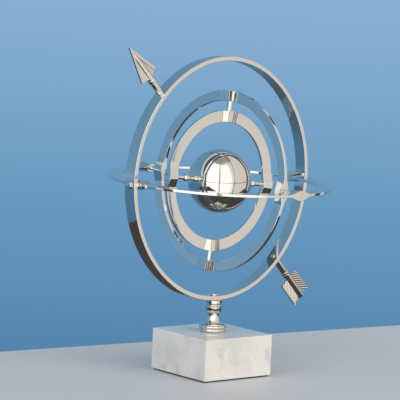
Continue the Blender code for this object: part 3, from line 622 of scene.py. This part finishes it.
poles = ["pole_pin_top", "pole_pin_bottom"]
pairOn("polePins", poleOutline, alongX(middlePlace), "middle", poles, polishedNickel)

ballLook = {
    "radius": 40.0, "wall": 1.5, "entry": 6.0, "bead": 4.7, "beadAt": 57.6, "beadHalf": 3.6,
    "collar": 4.0, "collarLength": 5.0,
}
axleBore = pivotRadius + fit
axleOutline = rodOutline(pivotRadius, innerLook["outer"] - 0.5, ballLook["radius"] - ballLook["entry"], 0.4)
axles = ["axle_left", "axle_right"]
pairOn("axleRods", axleOutline, alongX(innerPlace), "ball", axles, polishedNickel)
collarStart = ballLook["radius"] + seatGap
collarEnd = collarStart + ballLook["collarLength"]
collarOutline = sleeveOutline(ballLook["collar"], axleBore, collarEnd, collarStart, 0.5)
collars = ["axle_collar_left", "axle_collar_right"]
pairOn("axleCollars", collarOutline, alongX(innerPlace), "ball", collars, polishedNickel)
widest = math.degrees(math.asin(ballLook["beadHalf"] / ballLook["bead"]))
beadOutline = arcPoints((0, ballLook["beadAt"]), (ballLook["bead"], ballLook["bead"]), widest, -widest, 20)
beadOutline += [
    (axleBore, ballLook["beadAt"] + half) for half in (-ballLook["beadHalf"], ballLook["beadHalf"])
]
beads = ["axle_bead_left", "axle_bead_right"]
pairOn("axleBeads", beadOutline, alongX(innerPlace), "ball", beads, polishedNickel)

mouth = math.degrees(math.asin(axleBore / ballLook["radius"]))
hollow = ballLook["radius"] - ballLook["wall"]
inside = math.degrees(math.asin(axleBore / hollow))
ballOutline = arcPoints((0, 0), (ballLook["radius"],) * 2, 90 - mouth, mouth - 90, 120)
ballOutline += arcPoints((0, 0), (hollow, hollow), inside - 90, 90 - inside, 40)
mirrorBall = newObject("mirrorBall", turnedMesh("mirrorBall", ballOutline, 192))
mirrorBall.data.transform(alongX(innerPlace))
settle(mirrorBall, "ball", ["ball"], ballNickel)
print("nest made")

pedestalLow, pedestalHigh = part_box("pedestal")
pedestalLook = {
    "foot": (16.6, 4.0), "main": (17.6, 4.8), "quirk": 1.1, "step": (14.0, 1.2), "neck": 7.2,
    "cove": 10.6, "neckHeight": 3.2, "lip": 7.8, "cup": 9.9, "cupHeight": 7.2,
    "bead": (10.9, 3.6), "upperQuirk": 8.9, "cap": 10.0, "bore": 3.3,
}


def pedestalOutline(look, top):
    footZ = look["foot"][1] / 2
    mainZ = look["foot"][1] + look["main"][1] / 2
    stepZ = look["foot"][1] + look["main"][1]
    coveZ = stepZ + look["step"][1]
    neckZ = coveZ + look["cove"]
    cupZ = neckZ + look["neckHeight"]
    beadZ = cupZ + look["cupHeight"] + look["bead"][1] / 2
    quirkZ = beadZ + look["bead"][1] / 2
    depth = look["bead"][0] - look["upperQuirk"]
    cap, quirk = look["cap"], look["quirk"]
    outline = arcPoints((cap - 0.5, top - 0.5), (0.5, 0.5), 90, 0, 5) + [(cap, quirkZ + 1.4)]
    outline += arcPoints((cap - 0.4, quirkZ + 1.4), (0.4, 0.4), -10, -80, 3)
    outline += [(look["upperQuirk"], quirkZ + 0.6)]
    outline += arcPoints((look["bead"][0] - depth, beadZ), (depth, look["bead"][1] / 2), 78, -62, 20)
    outline += arcPoints(
        (look["lip"], cupZ + look["cupHeight"]), (look["cup"] - look["lip"], look["cupHeight"]), -8, -84, 18
    )
    outline += [
        (look["lip"] - 0.3, cupZ), (look["neck"] + 0.15, cupZ - 0.35), (look["neck"], cupZ - 0.7),
        (look["neck"], neckZ)
    ]
    outline += arcPoints(
        (look["step"][0], neckZ), (look["step"][0] - look["neck"], look["cove"]), 184, 264, 24
    )
    outline += [(look["step"][0], coveZ - 0.1), (look["step"][0], stepZ + 0.1)]
    outline += arcPoints((look["main"][0] - 2 * quirk, mainZ), (2 * quirk, look["main"][1] / 2), 84, -60, 22)
    outline += arcPoints((look["foot"][0] - quirk, footZ), (quirk, look["foot"][1] / 2), 60, -86, 16)
    return outline + [(look["bore"], 0), (look["bore"], top)]


turning = pedestalOutline(pedestalLook, (pedestalHigh.z - pedestalLow.z) / mm)
pedestalTurning = newObject("pedestalTurning", turnedMesh("pedestalTurning", turning, 160))
pedestalTurning.data.transform(Matrix.Translation((0, 0, pedestalLow.z)))
settle(pedestalTurning, "stand", ["pedestal"], turnedNickel, 50)

boltLow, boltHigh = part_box("tie_bolt")
boltLook = {"head": 5.4, "height": 2.7, "shank": 3.0}
boltLength = (boltHigh.z - boltLow.z) / mm - boltLook["height"]
boltOutline = panOutline(boltLook, boltLength, boltLength)
tieBolt = newObject("tieBolt", turnedMesh("tieBolt", boltOutline))
tieBolt.data.transform(Matrix.Translation((0, 0, boltLow.z)))
settle(tieBolt, "stand", ["tie_bolt"], polishedNickel)

blockLook = {"side": 107.0, "turn": -5.4, "edge": 1.0, "pocket": 12.0, "pocketDepth": 14.0, "bore": 3.3}
blockLow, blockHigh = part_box("marble_base")
blockHeight = (blockHigh.z - blockLow.z) / mm
blockSize = (blockLook["side"], blockLook["side"], blockHeight)
marbleBlock = newObject("marbleBlock", boxMesh("marbleBlock", blockSize, (0, 0, blockHeight / 2)))
chamfer = marbleBlock.modifiers.new("edges", "BEVEL")
chamfer.width = blockLook["edge"] * mm
chamfer.segments = 4
bake(marbleBlock)
pocket = (blockLook["pocket"], (0, 0, -clear), (0, 0, blockLook["pocketDepth"]))
boltHole = (blockLook["bore"], (0, 0, clear), (0, 0, blockHeight + clear))
cutWith(marbleBlock, boreCutter([pocket, boltHole]))
blockTurn = Matrix.Rotation(math.radians(blockLook["turn"]), 4, "Z")
marbleBlock.data.transform(Matrix.Translation((0, 0, blockLow.z)) @ blockTurn)
settle(marbleBlock, "stand", ["marble_base"], polishedMarble)
for nodeName, finish in (("base_felt", feltFinish), ("base_washer", zincFinish), ("base_nut", zincFinish)):
    frame["nodes"][nodeName].data.materials.clear()
    frame["nodes"][nodeName].data.materials.append(finish)
print("stand made")


def arrowPlace(side):
    # the arrow lies on a line through the hoop's centre; its lengths run outwards from the hoop's outer face
    out = Vector((-math.sqrt(0.5), 0, math.sqrt(0.5))) * side
    turn = Matrix((out, yAxis.cross(out), yAxis)).transposed()
    return Matrix.Translation(hoopCentre + out * hoopRadius * mm) @ turn.to_4x4()


headPlace, tailPlace = arrowPlace(1), arrowPlace(-1)
arrowLook = {
    "headShaft": (4.2, 18.8), "tailShaft": (4.2, 24.3), "spigot": 2.8, "headSpigot": 7.0, "tailSpigot": 14.0,
    "socket": (5.2, 5.5), "blade": (52.4, 14.5, 3.2), "sweep": 5.5, "rim": 3.7, "rimEnd": 7.8,
    "web": 1.2, "facet": (11.8, 4.25), "spine": 4.7, "ferrule": (5.1, 3.8), "core": (4.7, 44.2),
    "vaneStart": 8.2, "vane": (31.4, 36.7, 15.5, 3.1), "barbs": 9, "barbDepth": 0.75, "bore": 3.1,
}
arrowScrewLook = {"head": 3.0, "height": 1.8, "shank": 1.9, "depth": 13.0}


def shaftOutline(radius, length, spigot):
    bore, depth = arrowScrewLook["shank"] + fit, arrowScrewLook["depth"] + seatGap
    thin = arrowLook["spigot"]
    end = rodOutline(thin, length + spigot, length, 0.4)[:6]
    shoulder = arcPoints((radius - 0.4, length - 0.4), (0.4, 0.4), 90, 0, 4)
    return [*end, (thin, length), *shoulder, (radius, seatGap), (bore, seatGap), (bore, depth), (0, depth)]


def outwards(start):
    # lays a turned piece along the arrow, its foot at start
    return Matrix.Translation((start * mm, 0, 0)) @ Matrix.Rotation(math.pi / 2, 4, "Y")


def turnedOn(name, outline, place, node, finish, start=0):
    piece = newObject(name, turnedMesh(name, outline, 96))
    piece.data.transform(place @ outwards(start))
    return settle(piece, "stand", [node], finish)


headShaft = shaftOutline(*arrowLook["headShaft"], arrowLook["headSpigot"])
turnedOn("arrowHeadShaft", headShaft, headPlace, "arrow_head_shaft", turnedNickel)
tailShaft = shaftOutline(*arrowLook["tailShaft"], arrowLook["tailSpigot"])
turnedOn("arrowTailShaft", tailShaft, tailPlace, "arrow_tail_shaft", turnedNickel)
tailStart = arrowLook["tailShaft"][1] + seatGap
ferruleRadius, ferruleLength = arrowLook["ferrule"]
ferrule = sleeveOutline(ferruleRadius, arrowLook["bore"], ferruleLength, 0, 1.1)
turnedOn("arrowFerrule", ferrule, tailPlace, "arrow_ferrule", polishedNickel, tailStart)

arrowScrew = panOutline(arrowScrewLook, 0, hoopLook["width"] + seatGap + arrowScrewLook["depth"])
insideSeat = hoopRadius - hoopLook["width"] - seatGap
arrowScrewOutline = [(r, z - insideSeat) for r, z in arrowScrew]
arrowAxis = hoopPlace @ Matrix.Rotation(math.radians(135), 4, "Z")
pairOn(
    "arrowScrews", arrowScrewOutline, alongX(arrowAxis), "stand",
    ["arrow_head_screw", "arrow_tail_screw"], polishedNickel,
    slotWidth=1.0, slotDepth=0.8, slotTurn=40,
)


def prismMesh(name, points, thickness):
    bm = bmesh.new()
    bm.faces.new([bm.verts.new((x * mm, y * mm, -thickness / 2 * mm)) for x, y in points])
    raised = bmesh.ops.extrude_face_region(bm, geom=bm.faces[:])
    tops = [v for v in raised["geom"] if isinstance(v, bmesh.types.BMVert)]
    bmesh.ops.translate(bm, vec=(0, 0, thickness * mm), verts=tops)
    bmesh.ops.recalc_face_normals(bm, faces=bm.faces)
    return meshFrom(bm, name)


def bevelled(obj, width, segments=3):
    edges = obj.modifiers.new("edges", "BEVEL")
    edges.width = width * mm
    edges.segments = segments
    edges.limit_method = "ANGLE"
    edges.angle_limit = math.radians(30)
    return bake(obj)


bladeLength, bladeSpan, bladeThickness = arrowLook["blade"]
headStart = arrowLook["headShaft"][1] + seatGap
socketRadius, socketLength = arrowLook["socket"]
bladeRoot = headStart + socketLength
bladeTip = bladeRoot + bladeLength
barbAt = bladeRoot + arrowLook["sweep"]
# the casting: a rim along each outer edge, a thin web, facets that rise to the spine, and the spine itself
bladePoints = [
    (bladeRoot, 0), (barbAt, -bladeSpan), (bladeTip - 0.1, -0.4), (bladeTip - 0.1, 0.4), (barbAt, bladeSpan)
]
blade = newObject("arrowHeadCasting", prismMesh("arrowHeadCasting", bladePoints, bladeThickness))
arrowHeadCasting = bevelled(blade, 0.6, 4)
rimsMeet = bladeTip - arrowLook["rimEnd"]
rimSlope = (bladeSpan - arrowLook["rim"]) / (rimsMeet - barbAt)
hollowSpan = (rimsMeet - headStart) * rimSlope
hollowPoints = [(headStart, -hollowSpan), (rimsMeet, 0), (headStart, hollowSpan)]
cutWith(arrowHeadCasting, newObject("hollow", prismMesh("hollow", hollowPoints, 2 * bladeThickness)))
webSpan = bladeSpan - 1.2
webPoints = [(bladeRoot + 0.6, 0), (barbAt + 1.2, -webSpan), (bladeTip - 4.8, 0), (barbAt + 1.2, webSpan)]
cutWith(arrowHeadCasting, newObject("web", prismMesh("web", webPoints, arrowLook["web"])), "UNION")
facetSpan, facetHeight = arrowLook["facet"]
facetRoot, facetBarb = bladeRoot + 0.4, barbAt + 0.6
facetCorners = [(bladeTip - 4.2, 0, 0), (facetBarb, facetSpan, 0), (facetBarb, -facetSpan, 0)]
facetCorners += [(facetRoot, 0, facetHeight), (facetRoot, 0, -facetHeight)]
facetFaces = [(0, 1, 3), (0, 3, 2), (0, 2, 4), (0, 4, 1), (1, 4, 3), (2, 3, 4)]
facetMesh = bpy.data.meshes.new("facets")
facetMesh.from_pydata([Vector(corner) * mm for corner in facetCorners], [], facetFaces)
cutWith(arrowHeadCasting, newObject("facets", facetMesh), "UNION")
spineRadius = arrowLook["spine"]
headLength = socketLength + bladeLength
spineOutline = [(0, headLength - 5), (0.7, headLength - 7)]
spineOutline += [(spineRadius * 0.45, socketLength + bladeLength * 0.74)]
spineOutline += [(spineRadius * 0.75, socketLength + bladeLength * 0.48), (spineRadius, socketLength + 1.2)]
spineOutline += arcPoints((socketRadius - 0.8, socketLength - 1.4), (0.8, 1.2), 80, 0, 6)
spineOutline += arcPoints((socketRadius - 0.5, 0.5), (0.5, 0.5), 0, -90, 4) + [(0, 0)]
spine = newObject("spine", turnedMesh("spine", spineOutline, 72))
spine.data.transform(outwards(headStart))
cutWith(arrowHeadCasting, spine, "UNION")
spigotEnd = headStart + arrowLook["headSpigot"] + seatGap
cutWith(arrowHeadCasting, boreCutter([(arrowLook["bore"], (headStart - clear, 0, 0), (spigotEnd, 0, 0))]))
arrowHeadCasting.data.transform(headPlace)
settle(arrowHeadCasting, "stand", ["arrow_head"], castNickel, 24)


def makeVaneTree():
    # a flat grid is drawn out to the vane's outline and ridged like a feather on both faces
    lengths = ["Root Length", "Tip Length", "Span", "Thickness", "Barbs", "Depth"]
    inputs = [(label, "Float") for label in lengths] + [("Finish", "Material")]
    tree, given, made = newTree("featherVane", inputs)
    grid = addNode(
        tree, "GeometryNodeMeshGrid", {"Size X": 1, "Size Y": 1, "Vertices X": 121, "Vertices Y": 41}
    )
    upper = addNode(
        tree, "GeometryNodeTransform", {"Translation": (0.5, 0.5, 0.5), "Geometry": grid.outputs[0]}
    )
    turned = addNode(tree, "GeometryNodeFlipFaces", {"Mesh": upper.outputs[0]})
    downwards = {"Offset": (0, 0, -1), "Individual": False, "Mesh": turned.outputs[0]}
    walls = addNode(tree, "GeometryNodeExtrudeMesh", downwards)
    both = addNode(tree, "GeometryNodeJoinGeometry")
    for piece in (upper, walls):
        tree.links.new(piece.outputs[0], both.inputs[0])
    closed = addNode(tree, "GeometryNodeMergeByDistance", {"Distance": 0.0001, "Geometry": both.outputs[0]})
    place = addNode(tree, "GeometryNodeInputPosition")
    parts = addNode(tree, "ShaderNodeSeparateXYZ", {0: place.outputs[0]})
    known = {socket.name: socket for socket in given.outputs}
    known.update(zip(("along", "across", "face"), parts.outputs))
    sums = [
        ("growth", "SUBTRACT", "Tip Length", "Root Length"),
        ("length", "MULTIPLY_ADD", "across", "growth", "Root Length"),
        ("x", "MULTIPLY", "along", "length"),
        ("y", "MULTIPLY", "across", "Span"),
        ("pitch", "DIVIDE", "Tip Length", "Barbs"),
        ("slant", "SUBTRACT", "x", "y"),
        ("count", "DIVIDE", "slant", "pitch"),
        ("phase", "MULTIPLY", "count", math.pi),
        ("wave", "SINE", "phase"),
        ("hump", "ABSOLUTE", "wave"),
        ("ridge", "POWER", "hump", 0.7),
        ("valley", "SUBTRACT", 1.0, "ridge"),
        ("groove", "MULTIPLY", "valley", "Depth"),
        ("flat", "MULTIPLY", "Thickness", 0.5),
        ("half", "SUBTRACT", "flat", "groove"),
        ("side", "SIGN", "face"),
        ("z", "MULTIPLY", "side", "half"),
    ]
    for name, operation, *values in sums:
        terms = {number: known.get(value, value) for number, value in enumerate(values)}
        known[name] = addNode(tree, "ShaderNodeMath", {"operation": operation, **terms}).outputs[0]
    corner = addNode(tree, "ShaderNodeCombineXYZ", {0: known["x"], 1: known["y"], 2: known["z"]})
    moved = {"Geometry": closed.outputs[0], "Position": corner.outputs[0]}
    shaped = addNode(tree, "GeometryNodeSetPosition", moved)
    return endTree(tree, given, made, shaped.outputs[0])


vaneTree = makeVaneTree()
rootLength, tipLength, vaneSpan, vaneThickness = arrowLook["vane"]
coreStart = tailStart + ferruleLength + seatGap
coreRadius, coreLength = arrowLook["core"]
arrowFletching = newObject(
    "arrowFletching", turnedMesh("core", rodOutline(coreRadius, coreLength, 0, 0.9), 64)
)
arrowFletching.data.transform(outwards(coreStart))
vaneSizes = {
    "Root Length": rootLength * mm,
    "Tip Length": tipLength * mm,
    "Span": vaneSpan * mm,
    "Thickness": vaneThickness * mm,
    "Barbs": float(arrowLook["barbs"]),
    "Depth": arrowLook["barbDepth"] * mm,
    "Finish": castNickel,
}
vanePlace = Matrix.Translation(((coreStart + arrowLook["vaneStart"]) * mm, 0, 0))
for side in (-1, 1):
    vane = newObject("vane", bpy.data.meshes.new("vane"))
    growTree(vane, vaneTree, vaneSizes)
    bake(vane)
    vane.data.transform(vanePlace @ Matrix.Scale(side, 4, (0, 1, 0)))
    if side < 0:
        vane.data.flip_normals()  # the mirror turned it inside out
    cutWith(arrowFletching, vane, "UNION")
coreBoreEnd = coreStart + 10.1 + seatGap
cutWith(arrowFletching, boreCutter([(arrowLook["bore"], (coreStart - clear, 0, 0), (coreBoreEnd, 0, 0))]))
arrowFletching.data.transform(tailPlace)
settle(arrowFletching, "stand", ["arrow_fletching"], castNickel)
print("arrow made")


# the camera stands far off with a long lens, a little above the nest
viewLook = {
    "azimuth": 44.74, "elevation": 6.14, "roll": 2.57, "distance": 2877.4, "lens": 207.49, "aimAcross": -23.0,
    "aimHeight": 217.5
}
turnAngle, riseAngle, rollAngle = (math.radians(viewLook[key]) for key in ("azimuth", "elevation", "roll"))
ahead = Vector((math.sin(turnAngle), math.cos(turnAngle), 0))
forward = ahead * math.cos(riseAngle) - zAxis * math.sin(riseAngle)
level = Vector((math.cos(turnAngle), -math.sin(turnAngle), 0))
upright = level.cross(forward)
cameraRight = level * math.cos(rollAngle) + upright * math.sin(rollAngle)
cameraUp = upright * math.cos(rollAngle) - level * math.sin(rollAngle)
aim = Vector((0, 0, viewLook["aimHeight"] * mm)) + level * viewLook["aimAcross"] * mm
cameraData = bpy.data.cameras.new("camera")
cameraData.lens = viewLook["lens"]
cameraData.sensor_width = 36
camera = newObject("camera", cameraData)
cameraTurn = Matrix((cameraRight, cameraUp, -forward)).transposed().to_4x4()
camera.matrix_world = Matrix.Translation(aim - forward * viewLook["distance"] * mm) @ cameraTurn
scene.camera = camera

# a pale board to stand on; its back edge runs not far behind the hoop and nearly in line with it
floorLook = {
    "turn": -11, "back": 222, "front": 1300, "side": 1500, "thickness": 14, "below": 0.2, "edge": 2,
    "colour": "#C4C8CE", "patch": 140, "roller": 2.5, "rollerDepth": 0.1,
}
boardTurn = Matrix.Rotation(math.radians(floorLook["turn"]), 4, "Z")
boardDepth = floorLook["back"] + floorLook["front"]
boardSize = (2 * floorLook["side"], boardDepth, floorLook["thickness"])
boardCentre = (0, floorLook["back"] - boardDepth / 2, -floorLook["thickness"] / 2 - floorLook["below"])
floorBoard = newObject("floorBoard", boxMesh("floorBoard", boardSize, boardCentre))
bevelled(floorBoard, floorLook["edge"])
floorBoard.data.transform(boardTurn)
# eggshell paint on a board: pale and nearly matt, with soft patches of sheen and a fine roller texture
floorFinish, floorTree, floorShader, floorCoordinates = newFinish(
    "paleBoard", {"Base Color": linear(floorLook["colour"])}
)
mottle = addNode(
    floorTree, "ShaderNodeTexNoise",
    {"Scale": 1000 / floorLook["patch"], "Detail": 5, "Vector": floorCoordinates}
)
sheen = {"From Min": 0.3, "From Max": 0.7, "To Min": 0.45, "To Max": 0.65, "Value": mottle.outputs["Fac"]}
wear = addNode(floorTree, "ShaderNodeMapRange", sheen)
floorTree.links.new(wear.outputs["Result"], floorShader.inputs["Roughness"])
orangePeel = addNode(
    floorTree, "ShaderNodeTexNoise",
    {"Scale": 1000 / floorLook["roller"], "Detail": 2, "Vector": floorCoordinates}
)
relief = {"Strength": 0.3, "Distance": floorLook["rollerDepth"] * mm, "Height": orangePeel.outputs["Fac"]}
floorBump = addNode(floorTree, "ShaderNodeBump", relief)
floorTree.links.new(floorBump.outputs["Normal"], floorShader.inputs["Normal"])
floorBoard.data.materials.append(floorFinish)
# the board is hidden from reflections; the glowing card below is the painted reflection that stands in for it
floorBoard.visible_glossy = False

# a grey card just under the face of the board, seen only in reflections: a painted reflection, a dark floor
# for the polished metal to mirror where the pale board is hidden
paintedReflectionLook = {"back": 222, "front": 285, "side": 800, "thickness": 0.1, "below": 0.5, "colour": "#4A4746"}
cardDepth = paintedReflectionLook["back"] + paintedReflectionLook["front"]
cardSize = (2 * paintedReflectionLook["side"], cardDepth, paintedReflectionLook["thickness"])
cardCentre = (0, paintedReflectionLook["back"] - cardDepth / 2, -paintedReflectionLook["below"])
paintedReflectionCard = newObject("paintedReflectionCard", boxMesh("paintedReflectionCard", cardSize, cardCentre))
paintedReflectionCard.data.transform(boardTurn)
# painted reflection: the card is black and glows a fixed dark grey with no shine, so the undersides of the
# metal mirror a dark floor
paintedReflectionGlow = {
    "Emission Color": linear(paintedReflectionLook["colour"]), "Emission Strength": 1.0, "Specular IOR Level": 0.0
}
paintedReflectionFinish = newFinish("paintedReflectionCard", {"Base Color": (0, 0, 0, 1), **paintedReflectionGlow})[0]
paintedReflectionCard.data.materials.append(paintedReflectionFinish)
paintedReflectionCard.visible_camera = paintedReflectionCard.visible_diffuse = paintedReflectionCard.visible_shadow = False

# the room is the world: a blue wall behind and left, bright windows in front, a cream wall to the right
roomLook = {
    "wallTurn": -11, "wallReach": 0.42, "ceiling": "#A6A4A1", "frame": "#57514C", "strip": "#D2D6D8",
    "boards": "#46403D"
}
# the wall's blue by height, as the sine of the angle above level
wallHeights = [
    (-1, "#46403D"), (-0.8, "#46403D"), (-0.72, "#4C6475"), (-0.45, "#557F9E"), (-0.19, "#4F7FA8"),
    (-0.1, "#6B9CC2"), (-0.02, "#8CB1D4"), (0.03, "#76A4C8"), (0.5, "#6F9CBF"), (1, "#6892B2"),
]
# the rest of the room by angle, in degrees to the right of straight ahead of the object
roomBands = [
    (-180, "#FFFFFF", 1.3), (-62, "#FFFFFF", 1.3), (-56, "#FFFFFF", 1.5), (-3, "#FFFFFF", 1.5),
    (-1.5, "#B5B0AA", 1.0), (2, "#B5B0AA", 1.0), (3.5, "#FFFDF8", 1.5), (44, "#FBF6EE", 1.4),
    (52, "#E9E4DC", 1.05), (112, "#E6E1D9", 0.98), (180, "#E2DCD4", 0.9),
]
room = bpy.data.worlds.new("room")
scene.world = room
room.use_nodes = True
roomTree = room.node_tree
direction = addNode(roomTree, "ShaderNodeTexCoord").outputs["Generated"]
wallWay = Matrix.Rotation(math.radians(roomLook["wallTurn"]), 3, "Z") @ yAxis
ways = {}
for name, way in (("right", level), ("front", -ahead), ("up", zAxis), ("wall", wallWay)):
    along = {"operation": "DOT_PRODUCT", 0: direction, 1: tuple(way)}
    ways[name] = addNode(roomTree, "ShaderNodeVectorMath", along).outputs["Value"]
around = addNode(roomTree, "ShaderNodeMath", {"operation": "ARCTAN2", 0: ways["right"], 1: ways["front"]})
spread = addNode(
    roomTree, "ShaderNodeMapRange", {"From Min": -math.pi, "From Max": math.pi, "Value": around.outputs[0]}
)
bands = addNode(roomTree, "ShaderNodeValToRGB", {"Fac": spread.outputs["Result"]})
halfHeight = addNode(roomTree, "ShaderNodeMapRange", {"From Min": -1.0, "From Max": 1.0, "Value": ways["up"]})
wall = addNode(roomTree, "ShaderNodeValToRGB", {"Fac": halfHeight.outputs["Result"]})
bandStops = [((angle + 180) / 360, colour, strength) for angle, colour, strength in roomBands]
wallStops = [((height + 1) / 2, colour, 1) for height, colour in wallHeights]
for ramp, stops in ((bands, bandStops), (wall, wallStops)):
    elements = ramp.color_ramp.elements
    elements.remove(elements[1])
    for number, (place, colour, strength) in enumerate(stops):
        stop = elements[0] if number == 0 else elements.new(place)
        stop.color = [c * strength for c in linear(colour)[:3]] + [1]
# the wall ends further round the higher it is, and lamps and beams give the ceiling a wavy edge
risen = addNode(roomTree, "ShaderNodeMath", {"operation": "MAXIMUM", 0: ways["up"], 1: 0.0})
sloped = {"operation": "MULTIPLY_ADD", 0: risen.outputs[0], 1: -roomLook["wallReach"], 2: ways["wall"]}
towardsWall = addNode(roomTree, "ShaderNodeMath", sloped).outputs[0]
wavy = addNode(roomTree, "ShaderNodeTexNoise", {"Scale": 2.6, "Detail": 1, "Vector": direction})
waved = {"operation": "MULTIPLY_ADD", 0: wavy.outputs["Fac"], 1: 0.22, 2: ways["up"]}
wavedHeight = addNode(roomTree, "ShaderNodeMath", waved).outputs[0]
# each layer lies over the ones before it: ceiling, the wall end's dark frame and bright strip, wall, boards
layers = [
    (wavedHeight, 0.99, 1.05, linear(roomLook["ceiling"])),
    (towardsWall, -0.17, -0.14, linear(roomLook["frame"])),
    (towardsWall, 0.02, 0.04, linear(roomLook["strip"])),
    (towardsWall, 0.18, 0.2, wall.outputs["Color"]),
    (ways["up"], -0.72, -0.8, linear(roomLook["boards"])),
]
seen = bands.outputs["Color"]
for source, none, full, layer in layers:
    edge = {"interpolation_type": "SMOOTHSTEP", "From Min": none, "From Max": full, "Value": source}
    amount = addNode(roomTree, "ShaderNodeMapRange", edge).outputs["Result"]
    seen = addNode(roomTree, "ShaderNodeMix", {"data_type": "RGBA", 0: amount, 6: seen, 7: layer}).outputs[2]
roomTree.links.new(seen, roomTree.nodes["Background"].inputs["Color"])

# two big soft lamps, angles in degrees to the right of the front, other sizes in metres
lightLook = {
    "key": {"angle": 58, "height": 1.1, "distance": 2.6, "size": 1.3, "power": 28, "colour": "#FFF4E6"},
    "fill": {"angle": -40, "height": 0.9, "distance": 2.8, "size": 1.4, "power": 12, "colour": "#FFF3E4"},
}
for name, look in lightLook.items():
    lamp = bpy.data.lights.new(name, "AREA")
    lamp.size = look["size"]
    lamp.energy = look["power"]
    lamp.color = linear(look["colour"])[:3]
    angle = math.radians(look["angle"])
    spot = (level * math.sin(angle) - ahead * math.cos(angle)) * look["distance"] + zAxis * look["height"]
    holder = newObject(name, lamp)
    holder.visible_glossy = False
    facing = (spot - nestCentre).to_track_quat("Z", "Y").to_matrix().to_4x4()
    holder.matrix_world = Matrix.Translation(spot) @ facing
scene.view_settings.view_transform = "Standard"
print("room made")
